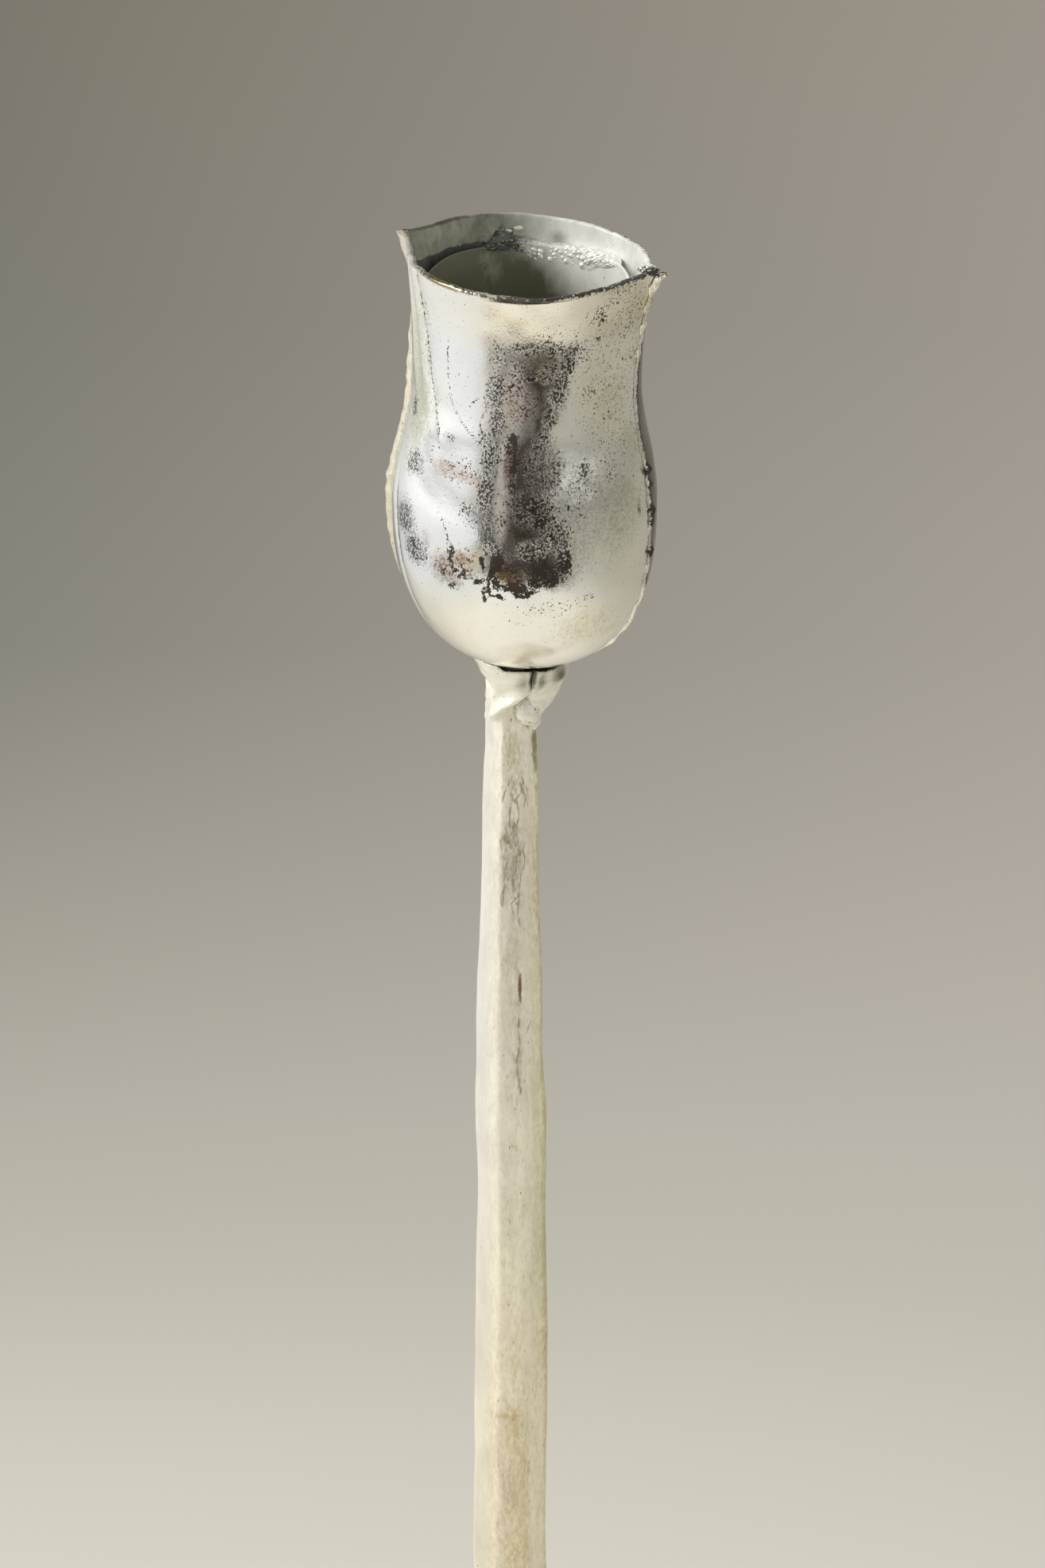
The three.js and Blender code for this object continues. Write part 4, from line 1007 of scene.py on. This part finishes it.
def make_stem():
    """The bar with its marks, a round spigot above it and the spigot's end spread inside the cup, closed at
    both ends by fans."""
    angle = full_turn(176)
    level = np.concatenate([
        np.linspace(STEM_BOTTOM - CUP_Z, -62.0, 200), np.linspace(-61.8, BAR_TOP, 290)])[:, None]
    radius = stem_radius(angle, level)
    for dent in STEM_DENTS:
        radius = radius + dented(angle, level, [dent], radius)
    radius = radius + 0.012 * uneven(angle, level * 0.35, 101, 26, 30, 2.0)
    radius = np.concatenate([radius, np.array(SPIGOT_REACH)[:, None] + 0.0 * angle])
    level = np.concatenate([level, np.array(SPIGOT_HEIGHTS)[:, None]])
    points, faces = capped(
        round_axis(radius, angle, CUP_Z + level), [0.0, 0.0, STEM_BOTTOM], [0.0, 0.0, CUP_Z + RIVET_TOP])
    angle, level = np.broadcast_arrays(angle, level)
    front = near(angle, 272.0, 26.0)
    nicks = [(*dent[:4], 0.06) for dent in STEM_DENTS if dent[4] < 0.0]
    specks = 0.03 * front + dented(angle, level, nicks, 4.0, 1.2)
    dull = 0.02 + 0.14 * front * within(level, -75.0, -40.0, -22.0, -12.0) + 0.05 * front
    cream = 0.25 + 0.75 * (1.0 - ease(level, -110.0, -50.0))
    tint = stained(turn_between(angle, FRONT) * STEM_REACH / NECK_RADIUS + FRONT, level, STEM_STAINS_AND_SHADE)
    tint = lined(tint, 0.62 * bell(off_cracks(angle, level, STEM_CRACKS, STEM_REACH), 0.0, 0.15), "#7c7062")
    patina = layers(angle.shape, specks, 0.0, cream, dull)
    piece("stem_forged", points, faces, [STEM_LEAF], "stem",
          {"patina": with_ends(patina), "stain_and_shade": with_ends(tint)})


make_stem()

# Calyx: reach of the two sepals to the left and right of the stem's axis, by height below the cup's underside
SEPAL_HEIGHTS = (-9.9, -9.25, -8, -6.8, -5.6, -4.3, -3.1, -1.9, -0.6, 0.6)
SEPAL_LEFT = (3.02, 3.06, 3.08, 3.05, 2.7, 2.5, 2.86, 3.7, 4.35, 4.7)
SEPAL_RIGHT = (2.95, 3.02, 3.45, 4.25, 4.95, 5.5, 6.15, 6.75, 6.75, 6.5)


# Where the sepals are dull, grey on the right sepal's top and tab and painted shade beside the slit on the
# left one, each with how much, angle and its spread, height and its spread
SEPAL_DULL_AND_SHADE = ((0.95, 307.0, 6.0, -1.5, 1.3), (0.95, 330.0, 11.0, -1.2, 1.2), (0.62, 286.0, 8.0, -1.6, 1.5))


def make_sepal(name, start, end, low_angles, low_heights, lumps, seed):
    """One sepal as a thick patch round the stem: the outside is a leaning funnel with hammered lumps, its
    lower edge runs at its own height for each angle and rolls down onto the stem, and its top lies just
    under the bowl."""
    angle = np.linspace(start, end, 90)[None, :]
    low = np.interp(angle, low_angles, low_heights) + 0.12 * uneven(angle, 0.0, seed, 8, 9, 1.0)
    t = np.linspace(0.0, 1.0, 70)[:, None]
    top = 0.62 - 0.52 * within(angle, 248.0, 262.0, 340.0, 352.0) - 0.3 * bell(angle, 318.0, 14.0)
    level = low + (top - low) * t
    left, right = np.interp(level, SEPAL_HEIGHTS, SEPAL_LEFT), np.interp(level, SEPAL_HEIGHTS, SEPAL_RIGHT)
    middle, round_radius = (right - left) / 2, (right + left) / 2
    turn = np.radians(angle)
    funnel = np.sqrt(np.maximum(0.01, round_radius ** 2 - (middle * np.sin(turn)) ** 2))
    funnel = middle * np.cos(turn) + funnel
    bar = stem_radius(angle, np.minimum(level, BAR_TOP))
    lip = 0.06 + 0.3 * bell(np.sin(turn), -1.0, 0.6) + 0.2 * bell(np.sin(turn), 1.0, 0.8)
    radius = np.maximum(funnel, bar + lip) + dented(angle, level, lumps, 4.2)
    radius = radius + 0.05 * uneven(angle, level, seed + 1, 18, 14, 2.2)
    rolled = 0.34 * bell(level - low, 0.8, 0.5) * (0.1 + 0.9 * ease(angle, 195.0, 235.0))
    radius = radius + rolled - 0.2 * bell(level - low, 2.3, 0.8)
    edge = ease(t, 0.0, 0.10) ** 0.5 * ease(1.0 - t, 0.0, 0.05) ** 0.5
    sides = ease(angle, start, start + 5.0) ** 0.5 * ease(-angle, -end, 5.0 - end) ** 0.5
    inner = np.minimum(bar - 0.25, radius - 0.5)
    inner = inner + (radius - 0.6 - inner) * ease(level, -4.0, -3.2)
    radius = inner + 0.2 + (radius - inner - 0.2) * edge * (0.55 + 0.45 * sides)
    gap = 4.0 + 5.0 * ease(level, -3.2, -0.4)
    slit_shade = 1.0 - ease((angle - start) / gap, 0.0, 1.0) * ease((end - angle) / gap, 0.0, 1.0)
    dull = sum(much * near(angle, place, spread) * bell(level, height, tall)
               for much, place, spread, height, tall in SEPAL_DULL_AND_SHADE)
    # The sepal's top edge goes to bare dark ground, and its whole inside too: bare iron, and painted shade of
    # the gap under the bowl.
    patina = layers(level.shape, 0.10, 0.8 * ease(t, 0.965, 0.99), 0.35, dull)
    # Painted shade in the slit between the sepals: near black along both edges of the slit at the top, fading
    # out about 4 mm down.
    tint = lined(unstained(level.shape), 0.95 * slit_shade * ease(level, -4.2, -1.2), "#2c2418")
    # Painted shade along the lower edge of the right sepal at 306 degrees, where its lobe meets the stem.
    tint = lined(tint, 0.75 * bell(level - low, 0.2, 0.35) * near(angle, 306.0, 9.0), "#5a4a3c")
    sheet(name + "_hammered", [round_axis(r, angle, CUP_Z + level) for r in (radius, inner)],
          2 * [SEPAL_LEAF], name,
          [patina, layers(level.shape, 0.5, 0.95, 0.0, 0.5)], [tint, unstained(level.shape)])


make_sepal(
    "left_sepal", 118.0, 295.0, (118.0, 150.0, 180.0, 215.0, 250.0, 280.0, 295.0),
    (-6.5, -8.0, -8.7, -8.2, -6.4, -4.9, -3.6),
    ((238.0, -6.0, 1.3, 1.0, 0.42), (264.0, -4.8, 1.3, 0.8, 0.46), (236.0, -3.2, 1.1, 1.0, 0.30),
     (255.0, -3.0, 1.3, 0.8, -0.30), (200.0, -7.2, 1.4, 1.4, -0.30)), 111)
make_sepal(
    "right_sepal", 297.0, 475.0, (297.0, 302.0, 312.0, 330.0, 360.0, 400.0, 440.0, 475.0),
    (-5.9, -8.0, -8.9, -9.2, -9.8, -8.6, -7.0, -6.4),
    ((305.0, -6.2, 1.5, 1.7, 0.60), (309.0, -5.6, 0.5, 0.5, -0.40), (322.0, -3.1, 1.4, 0.5, -0.40),
     (333.0, -1.5, 1.3, 0.8, 0.22), (312.0, -1.6, 0.9, 0.9, -0.25), (345.0, -4.3, 0.9, 0.7, 0.22)), 121)
make_drop("right_sepal_lobe", "right_sepal", SEPAL_LEAF,
          (1.9, -3.1, CUP_Z - 6.0), (1.5, 1.25, 1.8), 0.12, 0.0, 81)


# Foot

def hammer_marks(x, y, seed, spacing, depth):
    """Overlapping shallow hollows of a planishing hammer: at each point the deepest of a seeded set in rings,
    each falling with the square of the distance from its middle."""
    rng = np.random.default_rng(seed)
    deepest = np.zeros(x.shape)
    for ring in np.arange(8.0, FOOT_RADIUS + spacing, spacing):
        count = int(2 * math.pi * ring / spacing)
        turns = (np.arange(count) + rng.uniform(-0.3, 0.3, count)) * 2 * math.pi / count
        turns = turns + rng.uniform(0, 6.28)
        rings = ring + rng.uniform(-0.3, 0.3, count) * spacing
        sizes = spacing * rng.uniform(0.62, 0.95, count)
        for a, r, size in zip(turns, rings, sizes):
            gap = ((x - r * np.cos(a)) ** 2 + (y - r * np.sin(a)) ** 2) / size ** 2
            deepest = np.maximum(deepest, 1.0 - gap)
    return -depth * deepest


def make_foot():
    """The disc: its section goes out along the bottom, round the edge, in over the crown, which rises by a
    power of the way in, and down the screw's hole and counterbore. Hammer marks are beaten into the crown."""
    roll = np.linspace(-math.pi / 2, math.pi / 2, 11)
    edge, seat = FOOT_EDGE / 2, 7.0
    u = np.linspace(0.0, 1.0, 110)[1:]
    radius = np.concatenate([
        [5.3, 20.0, 40.0], FOOT_RADIUS - edge + edge * np.cos(roll),
        FOOT_RADIUS - edge + (seat - FOOT_RADIUS + edge) * u, [5.0, 2.8, 2.8, 5.3]])
    height = np.concatenate([
        [0.0, 0.0, 0.0], edge + edge * np.sin(roll), FOOT_EDGE + (FOOT_HEIGHT - FOOT_EDGE) * u ** 1.6,
        [FOOT_HEIGHT, FOOT_HEIGHT, 3.5, 3.5]])[:, None]
    crown = ((np.arange(len(radius)) > 12) & (radius > seat - 0.1))[:, None]
    angle, radius = full_turn(300), radius[:, None]
    r = radius * (1.0 + 0.004 * ease(radius, 30.0, 49.0) * uneven(angle, 0.0, 131, 10, 9, 1.0))
    points = round_axis(r, angle, FOOT_BOTTOM + height)
    dents = hammer_marks(points[..., 0], points[..., 1], 132, 5.6, 0.16) * crown * ease(r, seat, 10.0)
    points[..., 2] = np.maximum(FOOT_BOTTOM, points[..., 2] + dents)
    wear = 0.13 + 0.16 * ease(r, 46.0, 48.5) + 0.2 * (1.0 - ease(r, 6.5, 9.0))
    wear = wear + 0.1 * uneven(angle, r, 133, 14, 5, 14.0)
    brown = 0.10 + 0.16 * uneven(angle, r, 134, 14, 4, 18.0)
    cream = 0.6 + 0.3 * uneven(angle, r, 135, 10, 3, 22.0)
    dull = 0.25 + 0.2 * uneven(angle, r, 136, 12, 4, 16.0)
    patina = np.clip(layers(r.shape, wear, brown, cream, dull), 0.0, 1.0)
    piece("foot_hammered", points, [(quads(*r.shape, closed_rows=True, closed_columns=True), 0)], [FOOT_LEAF],
          "foot", {"patina": patina})


make_foot()


def make_felt():
    """The felt pad: a disc with a soft uneven edge and faint matting, closed by fans in the middle."""
    roll = np.linspace(-math.pi / 2, math.pi / 2, 7)
    out = np.linspace(2.0, FELT_RADIUS - 2.0, 24)
    half = FOOT_BOTTOM / 2
    radius = np.concatenate([out, FELT_RADIUS - 0.5 + 0.5 * np.cos(roll), out[::-1]])[:, None]
    height = np.concatenate([np.zeros(24), half + half * np.sin(roll), np.full(24, FOOT_BOTTOM)])[:, None]
    angle = full_turn(240)
    r = radius + 0.1 * uneven(angle, 0.0, 141, 14, 60, 1.0) * ease(radius, 40.0, FELT_RADIUS)
    matting = 0.05 * (0.5 + 0.5 * np.clip(uneven(angle, radius, 142, 20, 40, 3.0), -1, 1))
    points, faces = capped(
        round_axis(r, angle, height + matting * (height < 0.1)), [0.0, 0.0, 0.02], [0.0, 0.0, FOOT_BOTTOM])
    piece("felt_pad_pressed", points, faces, [WOOL_FELT], "felt_pad")


make_felt()
for name in ("foot_screw", "foot_washer"):
    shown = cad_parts[name]
    shown.data.materials.clear()
    shown.data.materials.append(ZINC_STEEL)


# Studio: a pale floor with a painted light falloff, greying with distance, a broad soft light on the left,
# and dark cloths beside the camera that only mirrors see

# The floor's painted light falloff: its tone by distance from the middle of the picture, in metres
FLOOR_FALLOFF_TONES = (
    (0.0, "#faf8f3"), (0.15, "#f8f6ef"), (0.22, "#f2efe5"), (0.31, "#dddad1"), (0.40, "#ccc9bf"),
    (0.453, "#c8c3bc"), (0.51, "#c3bcb5"), (0.572, "#bcb5af"), (0.638, "#b6afa9"), (0.788, "#ada69f"),
    (1.0, "#aca39b"))


def floor_paper():
    """Matte paper sweep with a painted pool of light: pale round the object and greying away from it, paler
    again far out to both sides, and a little greener on the left behind it."""
    material, tree, shader = new_material("matte_paper_sweep")
    place = node(tree, "TexCoord").outputs["Object"]
    x, y, _ = node(tree, "SeparateXYZ", {"Vector": place}).outputs
    away = node(tree, "VectorMath", {0: place, 1: (-0.02, -0.16, 0.0)}, operation="DISTANCE")
    tone = node(tree, "ValToRGB", {"Fac": away})
    stops = tone.color_ramp.elements
    stops[0].position, stops[1].position = FLOOR_FALLOFF_TONES[0][0], FLOOR_FALLOFF_TONES[-1][0]
    for distance, _ in FLOOR_FALLOFF_TONES[1:-1]:
        stops.new(distance)
    for stop, (_, code) in zip(stops, FLOOR_FALLOFF_TONES):
        stop.color = linear(code)
    side = node(tree, "MapRange", {"Value": x, "From Min": -0.12, "From Max": 0.12})
    tint = node(tree, "Mix", {0: side, 6: linear("#bec5bd"), 7: linear("#ffffff")}, data_type="RGBA")
    far = node(tree, "MapRange", {"Value": y, "From Min": 0.18, "From Max": 0.47})
    tone = node(tree, "Mix", {0: far, 6: tone, 7: tint}, data_type="RGBA", blend_type="MULTIPLY")
    for start, end, code in ((-0.16, -0.32, "#e6e7e8"), (-0.60, -1.20, "#d8d9da"), (0.2, 0.5, "#c8c5bb")):
        share = node(tree, "MapRange", {"Value": x, "From Min": start, "From Max": end})
        tone = node(tree, "Mix", {0: share, 6: tone, 7: linear(code)}, data_type="RGBA")
    feed(shader, {"Base Color": tone, "Roughness": 0.9, "Specular IOR Level": 0.1})
    return material


def cloth(name, tone, level):
    """Matte cloth that only mirrors see. It glows at its own low level, the same from anywhere."""
    material, _, shader = new_material(name)
    feed(shader, {"Base Color": linear("#141210"), "Emission Color": linear(tone), "Emission Strength": level,
                  "Roughness": 1.0, "Specular IOR Level": 0.0})
    return material


def plane(name, corners, material):
    """A flat stage piece from four corners in metres."""
    mesh = bpy.data.meshes.new(name)
    mesh.from_pydata(corners, [], [(0, 1, 2, 3)])
    mesh.materials.append(material)
    made = bpy.data.objects.new(name, mesh)
    bpy.context.scene.collection.objects.link(made)
    return made


FLOOR_REACH, FLOOR_Z = 8.0, -0.0002
plane("floor", [(x * FLOOR_REACH, y * FLOOR_REACH, FLOOR_Z) for x, y in ((-1, -1), (1, -1), (1, 1), (-1, 1))],
      floor_paper())
VELVET = cloth("black_velvet_flag", "#6a6150", 0.24)
GREY_CARD = cloth("grey_card", "#968b84", 0.5)
FLAG_Y = -0.36
ON_FLOOR, UPRIGHT = 4 * (0.0,), 4 * (FLAG_Y,)
for name, material, xs, ys, zs in (
        ("right_floor_card", VELVET, (0.225, 0.27, 0.315, 0.285), (FLAG_Y, -0.305, -0.29, FLAG_Y), ON_FLOOR),
        ("left_floor_card", VELVET, (-0.36, -0.31, -0.25, -0.2), (FLAG_Y, -0.3, -0.31, FLAG_Y), ON_FLOOR),
        ("lower_flag", VELVET, (-0.3, 0.33, 0.215, -0.27), UPRIGHT, (0.0, 0.0, 0.06, 0.06)),
        ("left_flag", VELVET, (-0.27, -0.1, -0.1, -0.25), UPRIGHT, (0.06, 0.06, 0.5, 0.5)),
        ("slit_card", GREY_CARD, (-0.1, -0.06, -0.06, -0.1), UPRIGHT, (0.06, 0.06, 0.5, 0.5)),
        ("right_flag", VELVET, (-0.06, 0.215, 0.155, -0.06), UPRIGHT, (0.06, 0.06, 0.1, 0.1)),
        ("middle_flag", VELVET, (-0.06, 0.155, 0.1, -0.06), UPRIGHT, (0.1, 0.1, 0.2, 0.2)),
        ("upper_flag", VELVET, (-0.06, 0.1, 0.1, -0.06), UPRIGHT, (0.2, 0.2, 0.5, 0.5))):
    flag = plane(name, list(zip(xs, ys, zs)), material)
    flag.visible_camera = flag.visible_diffuse = flag.visible_shadow = False
    flag.visible_transmission = flag.visible_volume_scatter = False


def softbox(name, place, aim, width, height, radiance, colour):
    """An area light of the given radiance: its power is radiance times pi times its area."""
    lamp = bpy.data.lights.new(name, "AREA")
    lamp.shape = "RECTANGLE"
    lamp.size, lamp.size_y = width, height
    lamp.energy = radiance * math.pi * width * height
    lamp.color = linear(colour)[:3]
    made = bpy.data.objects.new(name, lamp)
    made.location = place
    toward = np.array(aim) - np.array(place)
    yaw = math.atan2(toward[1], toward[0])
    pitch = math.atan2(toward[2], math.hypot(toward[0], toward[1]))
    made.rotation_euler = (math.pi / 2 + pitch, 0.0, yaw - math.pi / 2)
    made.visible_camera = False
    bpy.context.scene.collection.objects.link(made)
    return made


softbox("left_softbox", (-0.80, 0.10, 0.50), (0.0, 0.10, 0.5), 1.7, 1.0, 0.22, "#f3f5ff")
softbox("key", (-2.0, -0.05, 1.65), (0.0, 0.0, 0.2), 1.3, 1.3, 7.3, "#fffdf8")
softbox("front_fill", (0.5, -1.9, 1.1), (0.0, 0.0, 0.15), 1.2, 1.2, 1.1, "#fffaf0").visible_glossy = False


def surroundings():
    """World: a soft bright ceiling over a dimmer grey room."""
    world = bpy.data.worlds.new("studio")
    bpy.context.scene.world = world
    world.use_nodes = True
    tree = world.node_tree
    x, _, z = node(tree, "SeparateXYZ", {"Vector": node(tree, "TexCoord").outputs["Generated"]}).outputs
    up, across = [
        node(tree, "MapRange", {
            "Value": way, "From Min": start, "From Max": end}, interpolation_type="SMOOTHSTEP")
        for way, start, end in ((z, 0.05, 0.7), (x, -0.7, 0.7))]
    room, ceiling = [
        node(tree, "Mix", {0: across, 6: linear(left), 7: linear(right)}, data_type="RGBA")
        for left, right in (("#c9cac6", "#cacbc3"), ("#aeafab", "#90918c"))]
    tone = node(tree, "Mix", {0: up, 6: room, 7: ceiling}, data_type="RGBA")
    feed(tree.nodes["Background"], {"Color": tone, "Strength": 1.3})


surroundings()

# Camera: where the photograph was taken from, 24 degrees above the cup, with a long lens
LONG_SIDE, FOCAL_PIXELS, SENSOR = 1971, 11924, 36.0
CAMERA_PLACE, CAMERA_DOWN = (0.00129, -1.02852, 0.64741), 24.178
camera_data = bpy.data.cameras.new("camera")
camera_data.sensor_width = SENSOR
camera_data.lens = SENSOR * FOCAL_PIXELS / LONG_SIDE
camera_data.clip_start, camera_data.clip_end = 0.01, 100.0
camera = bpy.data.objects.new("camera", camera_data)
camera.location = CAMERA_PLACE
camera.rotation_euler = (math.radians(90.0 - CAMERA_DOWN), 0.0, 0.0)
bpy.context.scene.collection.objects.link(camera)
bpy.context.scene.camera = camera
bpy.context.scene.view_settings.view_transform = "Standard"
